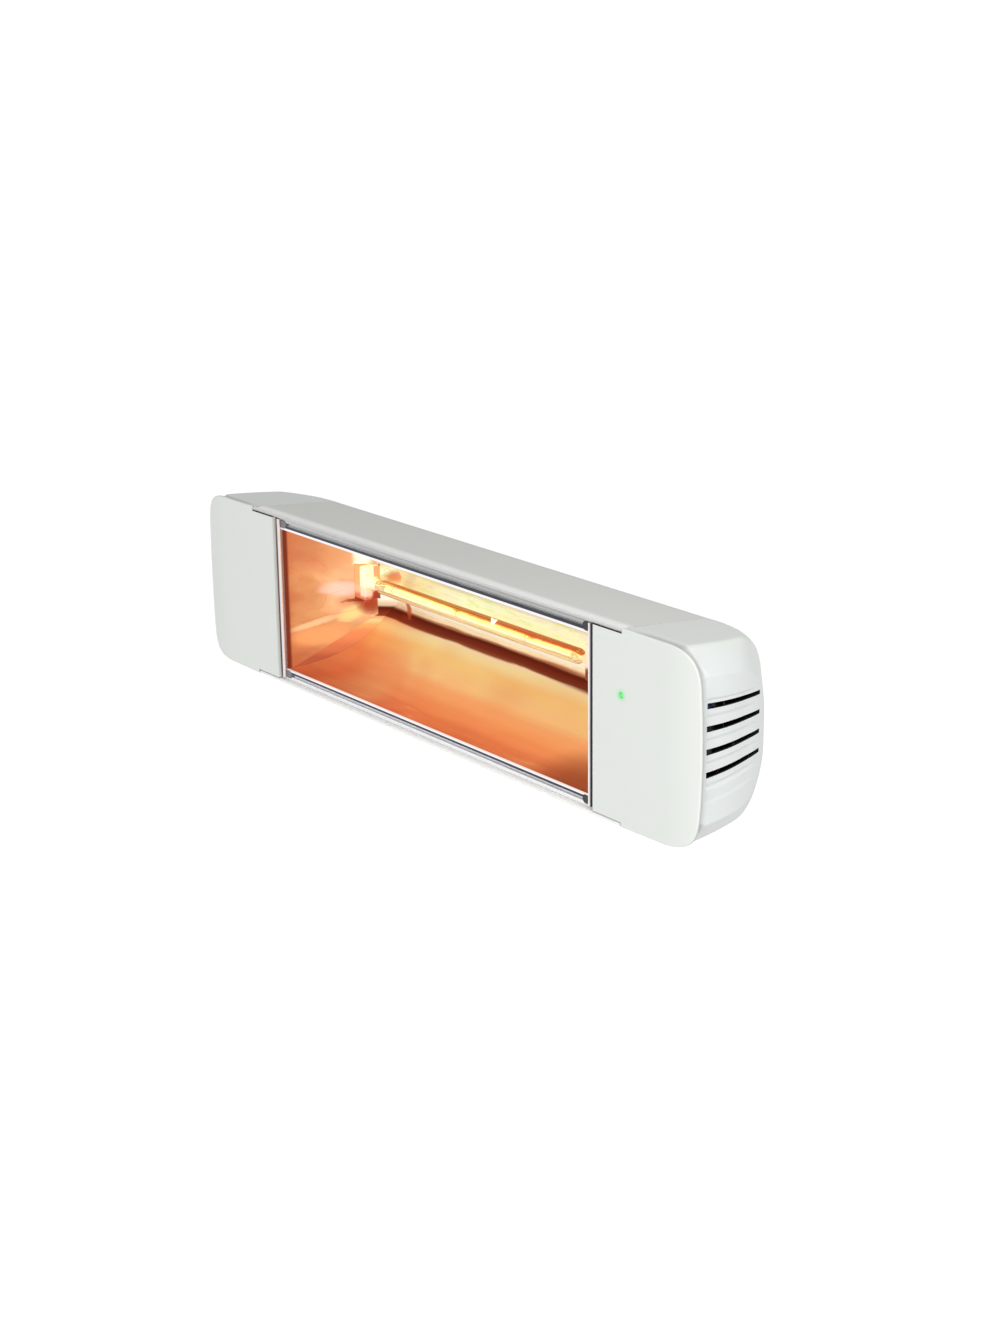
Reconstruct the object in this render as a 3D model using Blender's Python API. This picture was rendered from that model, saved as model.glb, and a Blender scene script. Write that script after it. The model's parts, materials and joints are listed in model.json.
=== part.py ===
"""Wall-hung short-wave infrared heater on a tilting bracket.

Units are metres and +Z is up. The origin is the middle of the wall plate's back face, and the heater
faces -Y. The heater's pieces are modelled in the frame of its front face: X along the heater, U
straight back from the front face, Z up from the middle. A parent empty places that frame, and its own
parent is the empty on the tilt axis.
"""
import math

import bmesh
import bpy
from mathutils import Matrix, Vector

# Running gap between pieces that touch on the real heater
GAP = 0.0003
WELD_DISTANCE = 0.00003

# Housing: an aluminium extrusion with a tapered, round-backed section
OVERALL_WIDTH = 0.500
FRONT_HEIGHT = 0.118
HOUSING_DEPTH = 0.082
TOP_TAPER = 0.10
REAR_RADIUS = 0.022
HOUSING_WALL = 0.0022

# Open screw ports inside the housing
PORT_SCREW_RADIUS = 0.0015
PORT_WALL = 0.0014
PORT_STANDS_OFF = 0.0045
PORT_NECK = 0.0030
PORT_U = 0.054
PORT_OPENING = math.radians(35)

# T-slot along the middle of the housing's back
TSLOT_MOUTH = 0.009
TSLOT_INNER = 0.017
TSLOT_DEPTH = 0.009
TSLOT_LIP = 0.0025

# End caps: front plate, soft groove behind it, rounded rear body
CAP_LENGTH = 0.0616
PLATE_TONGUE = 0.0247
PLATE_THICKNESS = 0.0025
FLANGE_THICKNESS = 0.0032
PLATE_CORNER = 0.025
PLATE_EDGE_BOW = 0.0011
PLATE_END_CURVE = 0.0035
PLATE_CURVE_RUN = 0.025
PLATE_EDGE_ROUND = 0.0014
GASKET_THICKNESS = 0.0008
CAP_WALL = 0.0025
SIDE_INSET = 0.0035
SIDE_FLARE = 0.083
SIDE_CURVE = 5.2
GROOVE_DEPTH = 0.0022
GROOVE_FADE = 0.016
SIDE_FADE = 0.024
SHOULDER_WIDTH = 0.0145
SHOULDER_HEIGHT = 0.0150
REAR_SWEEP = 0.0179
REAR_SWEEP_POWER = 2.25
REAR_ROUNDING = 0.51

# Louvred panel in each cap's side
LOUVRE_COUNT = 4
LOUVRE_PITCH = 0.0134
LOUVRE_SLOT = 0.0026
LOUVRE_MIDDLE_Z = 0.0057
LOUVRE_FRONT_U = 0.0115
LOUVRE_REAR_U = 0.0575
LOUVRE_CONVERGE = 0.15
PANEL_MARGIN = 0.0045
PANEL_SHALLOW = 0.0006
PANEL_DEEP = 0.0013

# Bulkheads that close the housing's ends
END_PLATE_THICKNESS = 0.0012
END_PLATE_INSET = 0.003
BOARD_NOTCH_Z = 0.038
BOARD_NOTCH_U = 0.016
CAP_TAB_LENGTH = 0.0185
CAP_TAB_U = 0.0775
CAP_TAB_WIDTH = 0.012
CAP_SCREW_INSET = 0.0116
CAP_SCREW_Z = 0.023
CAP_SCREW_RADIUS = 0.0017
CAP_PAD_RADIUS = 0.0044
PAD_PROUD = 0.0005
PAD_PHASE = math.radians(5)

# Rails and trims round the mouth
RAIL_FRONT_U = 0.003
RAIL_BAND = 0.0024
RAIL_SHORT = 0.0042
TRIM_WIDTH = 0.0026
TRIM_FRONT_U = 0.0015
TRIM_SHEET = 0.0008
TRIM_GAP = 0.0031
TRIM_LEG = 0.0115
PLUG_LENGTH = 0.0079
PLUG_HALF_HEIGHT = 0.0026
PLUG_ABOVE_MOUTH = 0.0023
PLUG_FRONT_U = 0.0027
PLUG_DEPTH = 0.0050

# Reflector
MIRROR_SHEET = 0.0008
MIRROR_EDGE_DEPTH = 0.0090
MIRROR_FRONT_U = 0.003
MIRROR_FLANGE = 0.0015
MIRROR_SHORT = 0.0050
MIRROR_END_SLOPE = 1.0
MIRROR_BACK_U = 0.060

# Lamp
LAMP_U = 0.044
LAMP_Z = 0.013
TUBE_RADIUS = 0.005
TUBE_WALL = 0.001
TUBE_INSET = 0.006
FILAMENT_RADIUS = 0.0011
FILAMENT_SUPPORTS = 7
SUPPORT_WIDTH = 0.0008
BASE_RADIUS = 0.0042
BASE_LENGTH = 0.0152
HOLDER_WIDTH = 0.012
HOLDER_HEIGHT = 0.023
HOLDER_LENGTH = 0.024
HOLDER_PROUD = 0.0057
SOCKET_DEPTH = 0.012
BRACKET_SHEET = 0.0012
BRACKET_FOOT_U = 0.059
BRACKET_LEG_U = 0.040
BRACKET_WIDTH = 0.022
RIVET_RADIUS = 0.0010
RIVET_U = 0.0535
RIVET_ABOVE_LAMP = 0.0075

# Wiring
LEAD_RADIUS = 0.0014
LINK_RADIUS = 0.0034
CABLE_U = 0.064
LEAD_Z = -0.0105
LINK_Z = -0.020
GROMMET_WALL = 0.0015

# Electronics behind the indicator plate
BOARD_U = 0.011
BOARD_THICKNESS = 0.0016
BOARD_OVER_SEAM = 0.0044
BOARD_LENGTH = 0.052
BOARD_HEIGHT = 0.072
BOARD_SCREW_RADIUS = 0.0011
BOSS_RADIUS = 0.003
BOSS_INSET = 0.005
RELAY_INSET = 0.030
RELAY_Z = 0.011
RELAY_BACK_U = 0.028
CONNECTOR_INSET = 0.024
CONNECTOR_Z = -0.026
CONNECTOR_BACK_U = 0.0245
CAPACITOR_INSET = 0.040
CAPACITOR_Z = -0.0225
LED_INSET = 0.0040
LED_Z = 0.0201
LED_RADIUS = 0.0015

# Terminal block on the left end plate
TERMINAL_U = 0.038
TERMINAL_LOW = -0.006
TERMINAL_HEIGHT = 0.032
TERMINAL_DEPTH = 0.016
TERMINAL_WIDTH = 0.014

# Cable gland in the back of the left cap
GLAND_INSET = 0.0176
GLAND_Z = 0.0
GLAND_THREAD = 0.008
GLAND_BORE = 0.0045
GLAND_HEX = 0.0095
GLAND_NUT = 0.0032
GLAND_WALL = 0.0030
GLAND_BOSS_RADIUS = 0.0130
GLAND_BOSS_WALL = 0.0016

# Wall bracket and tilt joint
STANDOFF = 0.040
PIVOT_TO_WALL = 0.020
WALL_PLATE_WIDTH = 0.100
WALL_PLATE_HEIGHT = 0.056
BRACKET_THICKNESS = 0.003
EAR_RADIUS = 0.011
YOKE_WIDTH = 0.055
YOKE_HEIGHT = 0.040
YOKE_THICKNESS = 0.0025
WASHER_THICKNESS = 0.001
WASHER_RADIUS = 0.009
PIVOT_RADIUS = 0.004
WALL_SLOT_X = 0.041
WALL_SLOT_Z = 0.018
YOKE_SCREW_X = 0.014

# Places worked out from the sizes above
SEAM_X = OVERALL_WIDTH / 2 - CAP_LENGTH
SIDE_X = OVERALL_WIDTH / 2 - SIDE_INSET
PLATE_INNER_X = SEAM_X - PLATE_TONGUE
HOUSING_LENGTH = 2 * (SEAM_X - GASKET_THICKNESS - 2 * GAP)
RAIL_LENGTH = 2 * (PLATE_INNER_X - RAIL_SHORT)
MIRROR_LENGTH = 2 * (PLATE_INNER_X - MIRROR_SHORT)
MIRROR_MOUTH_HALF = FRONT_HEIGHT / 2 - MIRROR_EDGE_DEPTH
PLUG_Z = MIRROR_MOUTH_HALF + PLUG_ABOVE_MOUTH
HOLDER_FACE_X = MIRROR_LENGTH / 2 - (LAMP_U - MIRROR_FRONT_U) * MIRROR_END_SLOPE - HOLDER_PROUD
CAP_SCREW_X = SEAM_X + CAP_SCREW_INSET
GLAND_X = -(SEAM_X + GLAND_INSET)
BOARD_START_X = SEAM_X - BOARD_OVER_SEAM
RELAY_X = BOARD_START_X + RELAY_INSET
CONNECTOR_X = BOARD_START_X + CONNECTOR_INSET
CAPACITOR_X = BOARD_START_X + CAPACITOR_INSET
LED_X = BOARD_START_X + LED_INSET
SLOPE = math.hypot(1, TOP_TAPER)
TAPER_ANGLE = math.atan(TOP_TAPER)
BACK_U = HOUSING_DEPTH
SEAT_U = BACK_U + PAD_PROUD
PIVOT_U = HOUSING_DEPTH + STANDOFF - PIVOT_TO_WALL
END_PLATE_X = HOUSING_LENGTH / 2 + GAP
END_PLATE_OUT_X = END_PLATE_X + END_PLATE_THICKNESS
TUBE_END_X = HOLDER_FACE_X - TUBE_INSET
BASE_END_X = TUBE_END_X + GAP + BASE_LENGTH
TERMINAL_X = -(END_PLATE_OUT_X + GAP + TERMINAL_WIDTH / 2)


def clear_scene():
    for old in list(bpy.data.objects):
        bpy.data.objects.remove(old)


# Materials

PALETTE = {
    # name: colour, roughness, metallic
    "housing_paint": ((0.74, 0.74, 0.70), 0.42, 0.0),
    "cap_plastic": ((0.86, 0.87, 0.84), 0.38, 0.0),
    "seal_rubber": ((0.62, 0.62, 0.60), 0.75, 0.0),
    "bright_aluminium": ((0.72, 0.74, 0.80), 0.28, 1.0),
    "mirror_aluminium": ((0.93, 0.62, 0.40), 0.16, 1.0),
    "quartz": ((1.0, 0.86, 0.55), 0.05, 0.0),
    "tungsten": ((1.0, 0.80, 0.35), 0.35, 1.0),
    "ceramic": ((0.90, 0.88, 0.83), 0.55, 0.0),
    "zinc_steel": ((0.66, 0.67, 0.69), 0.36, 1.0),
    "black_plastic": ((0.03, 0.03, 0.035), 0.45, 0.0),
    "grey_plastic": ((0.42, 0.43, 0.44), 0.50, 0.0),
    "circuit_board": ((0.05, 0.26, 0.12), 0.45, 0.0),
    "relay_blue": ((0.06, 0.20, 0.48), 0.40, 0.0),
    "lead_sleeve": ((0.86, 0.84, 0.78), 0.80, 0.0),
    "cable_sheath": ((0.08, 0.08, 0.085), 0.60, 0.0),
    "brass": ((0.78, 0.60, 0.28), 0.30, 1.0),
    "indicator_green": ((0.15, 0.85, 0.35), 0.25, 0.0),
}


def material(name):
    found = bpy.data.materials.get(name)
    if found:
        return found
    colour, roughness, metallic = PALETTE[name]
    made = bpy.data.materials.new(name)
    made.use_nodes = True
    shader = made.node_tree.nodes["Principled BSDF"]
    shader.inputs["Base Color"].default_value = (*colour, 1.0)
    shader.inputs["Roughness"].default_value = roughness
    shader.inputs["Metallic"].default_value = metallic
    made.diffuse_color = (*colour, 1.0)
    return made


# Building blocks

PARENT = {}


def empty(name, location, parent=None):
    made = bpy.data.objects.new(name, None)
    bpy.context.collection.objects.link(made)
    made.location = location
    made.parent = parent
    return made


def finish_mesh(bm, name, slot, parent, smooth=35.0):
    """Turn a closed bmesh into a named object with outward faces."""
    bmesh.ops.remove_doubles(bm, verts=bm.verts, dist=1e-7)
    bmesh.ops.recalc_face_normals(bm, faces=bm.faces)
    mesh = bpy.data.meshes.new(name)
    bm.to_mesh(mesh)
    bm.free()
    mesh.shade_smooth()
    mesh.set_sharp_from_angle(angle=math.radians(smooth))
    made = bpy.data.objects.new(name, mesh)
    bpy.context.collection.objects.link(made)
    if slot:
        mesh.materials.append(material(slot))
    if parent:
        made.parent = PARENT[parent]
    return made


def hide_tool(tool):
    tool.hide_render = True
    tool.display_type = "WIRE"
    return tool


def boolean(target, tool, operation="DIFFERENCE"):
    hide_tool(tool)
    step = target.modifiers.new(tool.name, "BOOLEAN")
    step.operation = operation
    step.solver = "EXACT"
    step.object = tool


def weld(target):
    """Merge the near-double points that a run of cuts leaves."""
    step = target.modifiers.new("weld", "WELD")
    step.merge_threshold = WELD_DISTANCE


def place(point, axis, height):
    """A plane point and a height along an axis, as a point in space."""
    a, b = point
    if axis == "X":
        return (height, a, b)
    if axis == "Y":
        return (a, height, b)
    return (a, b, height)


def add_prism(bm, outline, axis, low, high):
    bottom = [bm.verts.new(place(p, axis, low)) for p in outline]
    top = [bm.verts.new(place(p, axis, high)) for p in outline]
    bm.faces.new(bottom)
    bm.faces.new(list(reversed(top)))
    for i in range(len(outline)):
        j = (i + 1) % len(outline)
        bm.faces.new((bottom[i], top[i], top[j], bottom[j]))


def add_loft(bm, sections):
    """Skin closed sections of equal point counts and cap the two ends."""
    rings = [[bm.verts.new(p) for p in section] for section in sections]
    for near, far in zip(rings, rings[1:]):
        for i in range(len(near)):
            j = (i + 1) % len(near)
            bm.faces.new((near[i], near[j], far[j], far[i]))
    bm.faces.new(rings[0])
    bm.faces.new(list(reversed(rings[-1])))


def prism(name, outline, axis, low, high, slot, parent="heater"):
    bm = bmesh.new()
    add_prism(bm, outline, axis, low, high)
    return finish_mesh(bm, name, slot, parent)


def add_box(bm, low, high):
    outline = [(low[0], low[1]), (high[0], low[1]), (high[0], high[1]), (low[0], high[1])]
    add_prism(bm, outline, "Z", low[2], high[2])


def boxes(name, corners, slot, parent="heater", edge=0.0):
    """One object of one or more separate boxes, with its edges bevelled where edge is given."""
    bm = bmesh.new()
    for low, high in corners:
        add_box(bm, low, high)
    if edge:
        bmesh.ops.bevel(bm, geom=bm.edges[:], offset=edge, segments=1, affect="EDGES")
    return finish_mesh(bm, name, slot, parent)


def add_turned(bm, profile, origin, axis, steps):
    """Spin a closed (radius, height) profile about an axis through origin."""
    first = len(bm.verts)
    verts = [bm.verts.new((r, 0.0, h)) for r, h in profile]
    count = len(verts)
    edges = [bm.edges.new((verts[i], verts[(i + 1) % count])) for i in range(count)]
    bmesh.ops.spin(bm, geom=verts + edges, cent=(0, 0, 0), axis=(0, 0, 1), dvec=(0, 0, 0),
                   angle=math.tau, steps=steps, use_merge=True)
    bm.verts.ensure_lookup_table()
    made = bm.verts[first:]
    turn = Vector((0, 0, 1)).rotation_difference(Vector(axis)).to_matrix().to_4x4()
    bmesh.ops.transform(bm, matrix=Matrix.Translation(origin) @ turn, verts=made)


def turned(name, profile, origin, axis, slot, steps=16, parent="heater"):
    bm = bmesh.new()
    add_turned(bm, profile, origin, axis, steps)
    merge_poles(bm)
    return finish_mesh(bm, name, slot, parent)


def merge_poles(bm):
    """Close the spun profile's ends on the axis and drop the faces that collapse there."""
    bmesh.ops.remove_doubles(bm, verts=bm.verts, dist=1e-6)
    bmesh.ops.dissolve_degenerate(bm, dist=1e-7, edges=bm.edges)
    loose = [e for e in bm.edges if not e.link_faces]
    bmesh.ops.delete(bm, geom=loose, context="EDGES")


def rod(radius, low, high):
    """Profile of a plain solid cylinder."""
    return [(0, low), (radius, low), (radius, high), (0, high)]


def ring(inner, outer, low, high):
    return [(inner, low), (outer, low), (outer, high), (inner, high)]


def drill(name, radius, places, axis, low, high, steps=16, parent="heater"):
    """A cutter of one or more round holes."""
    bm = bmesh.new()
    for origin in places:
        add_separate(bm, rod(radius, low, high), origin, axis, steps)
    return finish_mesh(bm, name, None, parent)


def polygon(radius, centre, count=6, phase=0.0):
    angles = [phase + math.tau * i / count for i in range(count)]
    return [(centre[0] + radius * math.cos(a), centre[1] + radius * math.sin(a)) for a in angles]


def arc(centre, radius, start, end, steps):
    angles = [start + (end - start) * i / steps for i in range(steps + 1)]
    return [(centre[0] + radius * math.cos(a), centre[1] + radius * math.sin(a)) for a in angles]


def curve_point(points, t):
    """A point on a Bezier curve through any number of control points."""
    points = [Vector(p) for p in points]
    while len(points) > 1:
        points = [a.lerp(b, t) for a, b in zip(points, points[1:])]
    return points[0]


def wire(name, route, radius, slot, parent="heater"):
    """A round wire along a smooth curve through its route's points."""
    data = bpy.data.curves.new(name, "CURVE")
    data.dimensions = "3D"
    data.bevel_depth = radius
    data.bevel_resolution = 2
    data.use_fill_caps = True
    points = smooth_route(route, 3.0 * radius)
    spline = data.splines.new("POLY")
    spline.points.add(len(points) - 1)
    for target, point in zip(spline.points, points):
        target.co = (*point, 1.0)
    made = bpy.data.objects.new(name, data)
    bpy.context.collection.objects.link(made)
    data.materials.append(material(slot))
    made.parent = PARENT[parent]
    return made


def smooth_route(route, spacing):
    """Points at about even spacing on a Catmull-Rom curve through the route."""
    knots = [Vector(p) for p in route]
    padded = [2 * knots[0] - knots[1]] + knots + [2 * knots[-1] - knots[-2]]
    points = [knots[0]]
    for before, start, end, after in zip(padded, padded[1:], padded[2:], padded[3:]):
        steps = max(1, round((end - start).length / spacing))
        for i in range(1, steps + 1):
            t = i / steps
            points.append(0.5 * (2 * start + (end - before) * t
                                 + (2 * before - 5 * start + 4 * end - after) * t * t
                                 + (3 * start - before - 3 * end + after) * t ** 3))
    return points


def smoothstep(t):
    t = min(max(t, 0.0), 1.0)
    return t * t * (3 - 2 * t)


def mirrored(bm, side):
    """Flip a piece made for the right-hand side to the left when side is -1."""
    if side < 0:
        bmesh.ops.scale(bm, vec=(-1, 1, 1), verts=bm.verts)


# Section of the housing and the caps

def top_line(u, inset=0.0):
    """Height of the section's top surface at depth u, drawn in by an inset square to it."""
    return FRONT_HEIGHT / 2 - TOP_TAPER * u - inset * SLOPE


def section_arc(inset, drop=0.0, pull=0.0, steps=7):
    """The rear corner from the top line to the back, for a section drawn in by inset.

    Drop lowers it, and pull brings its back forward and makes the corner rounder.
    """
    radius = REAR_RADIUS + REAR_ROUNDING * pull - inset
    centre_u = HOUSING_DEPTH - pull - inset - radius
    centre_z = top_line(centre_u, inset + radius) - drop
    return arc((centre_u, centre_z), radius, math.pi / 2 - TAPER_ANGLE, 0.0, steps)


def mirror_z(points):
    return [(u, -z) for u, z in reversed(points)]


def screw_port(port_u):
    """Inner wall line round the open screw port, front to back, on the top wall."""
    back = Vector((1, -TOP_TAPER)) / SLOPE
    inward = Vector((-TOP_TAPER, -1)) / SLOPE
    foot = Vector((port_u, top_line(port_u, HOUSING_WALL)))
    middle = foot + inward * PORT_STANDS_OFF
    outer = PORT_SCREW_RADIUS + PORT_WALL
    neck_angle = math.asin(PORT_NECK / 2 / outer)
    open_angle = math.pi - PORT_OPENING

    def at(angle, radius):
        return middle - inward * (radius * math.cos(angle)) - back * (radius * math.sin(angle))

    def sweep(start, end, radius, steps):
        return [at(start + (end - start) * i / steps, radius) for i in range(steps + 1)]

    points = [foot - back * (PORT_NECK / 2)]
    points += sweep(neck_angle, open_angle, outer, 4)
    points += sweep(open_angle, -open_angle, PORT_SCREW_RADIUS, 8)
    points += sweep(-open_angle, -neck_angle, outer, 4)
    points.append(foot + back * (PORT_NECK / 2))
    return [tuple(p) for p in points]


def port_middle(port_u):
    """Middle of a port in (u, z), for what is screwed into it."""
    inward = Vector((-TOP_TAPER, -1)) / SLOPE
    foot = Vector((port_u, top_line(port_u, HOUSING_WALL)))
    return foot + inward * PORT_STANDS_OFF


def housing_outline():
    nose = HOUSING_WALL / 2
    back = Vector((1, -TOP_TAPER)) / SLOPE
    up = Vector((TOP_TAPER, 1)) / SLOPE
    nose_middle = Vector((nose, top_line(nose, nose)))
    nose_arc = [nose_middle + up * (nose * math.cos(a)) - back * (nose * math.sin(a))
                for a in [math.pi * (5 - i) / 5 for i in range(6)]]
    slot_floor = BACK_U - TSLOT_DEPTH
    outer = [tuple(p) for p in nose_arc] + section_arc(0.0)
    outer += [(BACK_U, TSLOT_MOUTH / 2), (BACK_U - TSLOT_LIP, TSLOT_MOUTH / 2),
              (BACK_U - TSLOT_LIP, TSLOT_INNER / 2), (slot_floor, TSLOT_INNER / 2)]
    inner = screw_port(PORT_U) + section_arc(HOUSING_WALL)
    inner += [(BACK_U - HOUSING_WALL, TSLOT_INNER / 2 + HOUSING_WALL),
              (slot_floor - HOUSING_WALL, TSLOT_INNER / 2 + HOUSING_WALL)]
    return outer + mirror_z(outer) + mirror_z(inner[::-1]) + inner[::-1]


def make_housing():
    outline = housing_outline()
    half = HOUSING_LENGTH / 2
    prism("housing", outline, "X", -half, half, "housing_paint")


# End caps

def end_curve(x):
    """How far back the front plate's outer end curves at x."""
    run = abs(x) - (OVERALL_WIDTH / 2 - PLATE_CURVE_RUN)
    return PLATE_END_CURVE * (run / PLATE_CURVE_RUN) ** 2 if run > 0 else 0.0


def side_bow(u):
    """How far the cap's side falls inward at depth u: it swells a little, then curves in."""
    run = max(u - LOUVRE_FRONT_U, 0.0)
    return SIDE_CURVE * run ** 2 - SIDE_FLARE * run


def tongue_half():
    return top_line(0.0, HOUSING_WALL) - GAP


# The plate corner's curve, as fractions of its size: inset from the end, drop from the top
CORNER_CURVE = ((1.0, 0.0), (0.44, 0.03), (0.064, 0.36), (0.044, 0.96))


def plate_outline():
    """Front plate in (x, z): a tongue over the housing's mouth, then the round-cornered plate."""
    half = FRONT_HEIGHT / 2
    edge_x = OVERALL_WIDTH / 2
    controls = [(edge_x - a * PLATE_CORNER, half - b * PLATE_CORNER) for a, b in CORNER_CURVE]
    corner = [tuple(curve_point(controls, i / 9)) for i in range(10)]
    straight = corner[-1][1]
    bow = [(edge_x - PLATE_EDGE_BOW * t * t, straight * t) for t in (0.67, 0.33)]
    upper = [(PLATE_INNER_X, tongue_half()), (SEAM_X, tongue_half()), (SEAM_X, half)] + corner + bow
    lower = [(x, -z) for x, z in reversed(upper)]
    return upper + [(edge_x, 0.0)] + lower


def make_front_plate(name, side):
    bm = bmesh.new()
    outline = plate_outline()
    add_prism(bm, outline, "Y", 0.0, FLANGE_THICKNESS)
    bmesh.ops.recalc_face_normals(bm, faces=bm.faces)
    rim = [e for e in bm.edges if all(abs(v.co.y) < 1e-6 for v in e.verts)
           and max(v.co.x for v in e.verts) > SEAM_X + GAP]
    bmesh.ops.bevel(bm, geom=rim, offset=PLATE_EDGE_ROUND, segments=2, profile=0.5, affect="EDGES")
    curve_start = OVERALL_WIDTH / 2 - PLATE_CURVE_RUN
    for i in range(5):
        x = curve_start + PLATE_CURVE_RUN * i / 5
        bmesh.ops.bisect_plane(bm, geom=bm.verts[:] + bm.edges[:] + bm.faces[:], dist=1e-6,
                               plane_co=(x, 0, 0), plane_no=(1, 0, 0))
    for vert in bm.verts:
        vert.co.y += end_curve(vert.co.x)
    mirrored(bm, side)
    return finish_mesh(bm, name, "cap_plastic", "heater")


# Fractions of the shoulder's width and height, from the top crease to the side
SHOULDER = ((0.0, 0.0), (0.12, 0.03), (0.26, 0.14), (0.76, 0.69), (0.92, 0.88), (1.0, 1.0))


def cap_stations():
    """(x, drop of the top, pull of the back) from the seam to the cap's side."""
    shoulder_start = SIDE_X - SHOULDER_WIDTH
    stations = [(SEAM_X + GROOVE_FADE * t, 0.0) for t in (0.0, 0.25, 0.5, 0.75, 1.0)]
    gap = shoulder_start - stations[-1][0]
    stations += [(stations[-1][0] + gap * t, 0.0) for t in (0.3, 0.55, 0.8)]
    stations += [(shoulder_start + a * SHOULDER_WIDTH, d * SHOULDER_HEIGHT) for a, d in SHOULDER]
    return [(x, drop, REAR_SWEEP * cap_reach(x) ** REAR_SWEEP_POWER) for x, drop in stations]


def cap_reach(x):
    """0 at the seam and 1 at the cap's side."""
    return (x - SEAM_X) / (SIDE_X - SEAM_X)


def body_ring(x, drop, pull, shell, front_u):
    """One closed section of the cap's body at x, drawn in by shell."""
    fade = smoothstep((x - SEAM_X) / GROOVE_FADE)
    side_fade = smoothstep((x - SIDE_X + SIDE_FADE) / SIDE_FADE)
    reach = cap_reach(x) ** 2
    bend = end_curve(x)
    front = [(front_u, 1.0), (FLANGE_THICKNESS + 0.0015, 1.0), (FLANGE_THICKNESS + 0.0040, 0.55),
             (FLANGE_THICKNESS + 0.0075, 0.0)]
    upper = []
    for u, waist in front:
        u_bent = u + bend
        z = top_line(u_bent, shell) - drop - GROOVE_DEPTH * waist * fade
        upper.append((u_bent, z, GROOVE_DEPTH * waist * side_fade))
    upper += [(u, z, 0.0) for u, z in section_arc(shell, drop, pull)]
    points = []
    for u, z, waist in upper:
        points.append((x - shell * reach - side_bow(u) * reach - waist, u, z))
    return points + [(px, u, -z) for px, u, z in reversed(points)]


def make_body_form(name, side, shell, front_u, seam_x):
    """Loft the cap's rear body through its sections and close its bowed side in strips."""
    sections = []
    for x, drop, pull in cap_stations():
        sections.append(body_ring(x, drop, pull, shell, front_u))
    sections[0] = [(seam_x, u, z) for _, u, z in sections[0]]
    bm = bmesh.new()
    add_loft(bm, sections)
    bm.faces.ensure_lookup_table()
    side_face = bm.faces[-1]
    rim = list(side_face.verts)
    bmesh.ops.delete(bm, geom=[side_face], context="FACES_ONLY")
    for i in range(len(rim) // 2 - 1):
        bm.faces.new((rim[i], rim[i + 1], rim[-2 - i], rim[-1 - i]))
    bmesh.ops.triangulate(bm, faces=bm.faces[:])
    mirrored(bm, side)
    return finish_mesh(bm, name, None, "heater")


def louvre_z(row, u):
    """Height of a louvre row at depth u; the rows draw together towards the back."""
    closing = 1 - LOUVRE_CONVERGE * (u - LOUVRE_FRONT_U) / (LOUVRE_REAR_U - LOUVRE_FRONT_U)
    middle_row = (LOUVRE_COUNT - 1) / 2
    return LOUVRE_MIDDLE_Z + (middle_row - row) * LOUVRE_PITCH * closing


def make_panel_form(name, side):
    """Cutter for the louvred recess: stepped like shingles, fading out towards the back."""
    bm = bmesh.new()
    columns = 6
    rows = []
    for row in range(LOUVRE_COUNT + 1):
        rows += [(row - 0.5, PANEL_DEEP if row else PANEL_SHALLOW), (row + 0.38, PANEL_SHALLOW)]
    rows[-1] = (LOUVRE_COUNT + 0.5, PANEL_SHALLOW)
    layers = []
    for i in range(columns + 1):
        t = i / columns
        u = LOUVRE_FRONT_U - 0.001 + t * (LOUVRE_REAR_U + PANEL_MARGIN - LOUVRE_FRONT_U)
        fade = 1 - 1.15 * smoothstep((t - 0.62) / 0.38)
        floor = [(SIDE_X - side_bow(u) - depth * fade, u, louvre_z(row, u)) for row, depth in rows]
        outside = [(SIDE_X + PANEL_MARGIN, u, z) for _, u, z in floor]
        layers.append(([bm.verts.new(p) for p in floor], [bm.verts.new(p) for p in outside]))
    last = len(rows) - 1
    for (floor, out), (next_floor, next_out) in zip(layers, layers[1:]):
        for j in range(last):
            bm.faces.new((floor[j], floor[j + 1], next_floor[j + 1], next_floor[j]))
            bm.faces.new((out[j], next_out[j], next_out[j + 1], out[j + 1]))
        bm.faces.new((floor[0], next_floor[0], next_out[0], out[0]))
        bm.faces.new((floor[last], out[last], next_out[last], next_floor[last]))
    for floor, out in (layers[0], layers[-1]):
        for j in range(last):
            bm.faces.new((floor[j], out[j], out[j + 1], floor[j + 1]))
    mirrored(bm, side)
    return finish_mesh(bm, name, None, "heater")


def make_slot_form(name, side):
    """Cutter for the through slots: one tapered blade for each louvre."""
    bm = bmesh.new()
    inner = SIDE_X - side_bow(LOUVRE_REAR_U) - CAP_WALL - 0.005
    outer = SIDE_X + PANEL_MARGIN
    for row in range(LOUVRE_COUNT):
        outline = []
        for u, half in ((LOUVRE_FRONT_U, 0.5), (LOUVRE_REAR_U, 0.42)):
            z = louvre_z(row, u)
            outline.append(((u, z + half * LOUVRE_SLOT), (u, z - half * LOUVRE_SLOT)))
        (a, b), (c, d) = outline
        add_prism(bm, [a, b, d, c], "X", inner, outer)
    mirrored(bm, side)
    return finish_mesh(bm, name, None, "heater")


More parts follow.
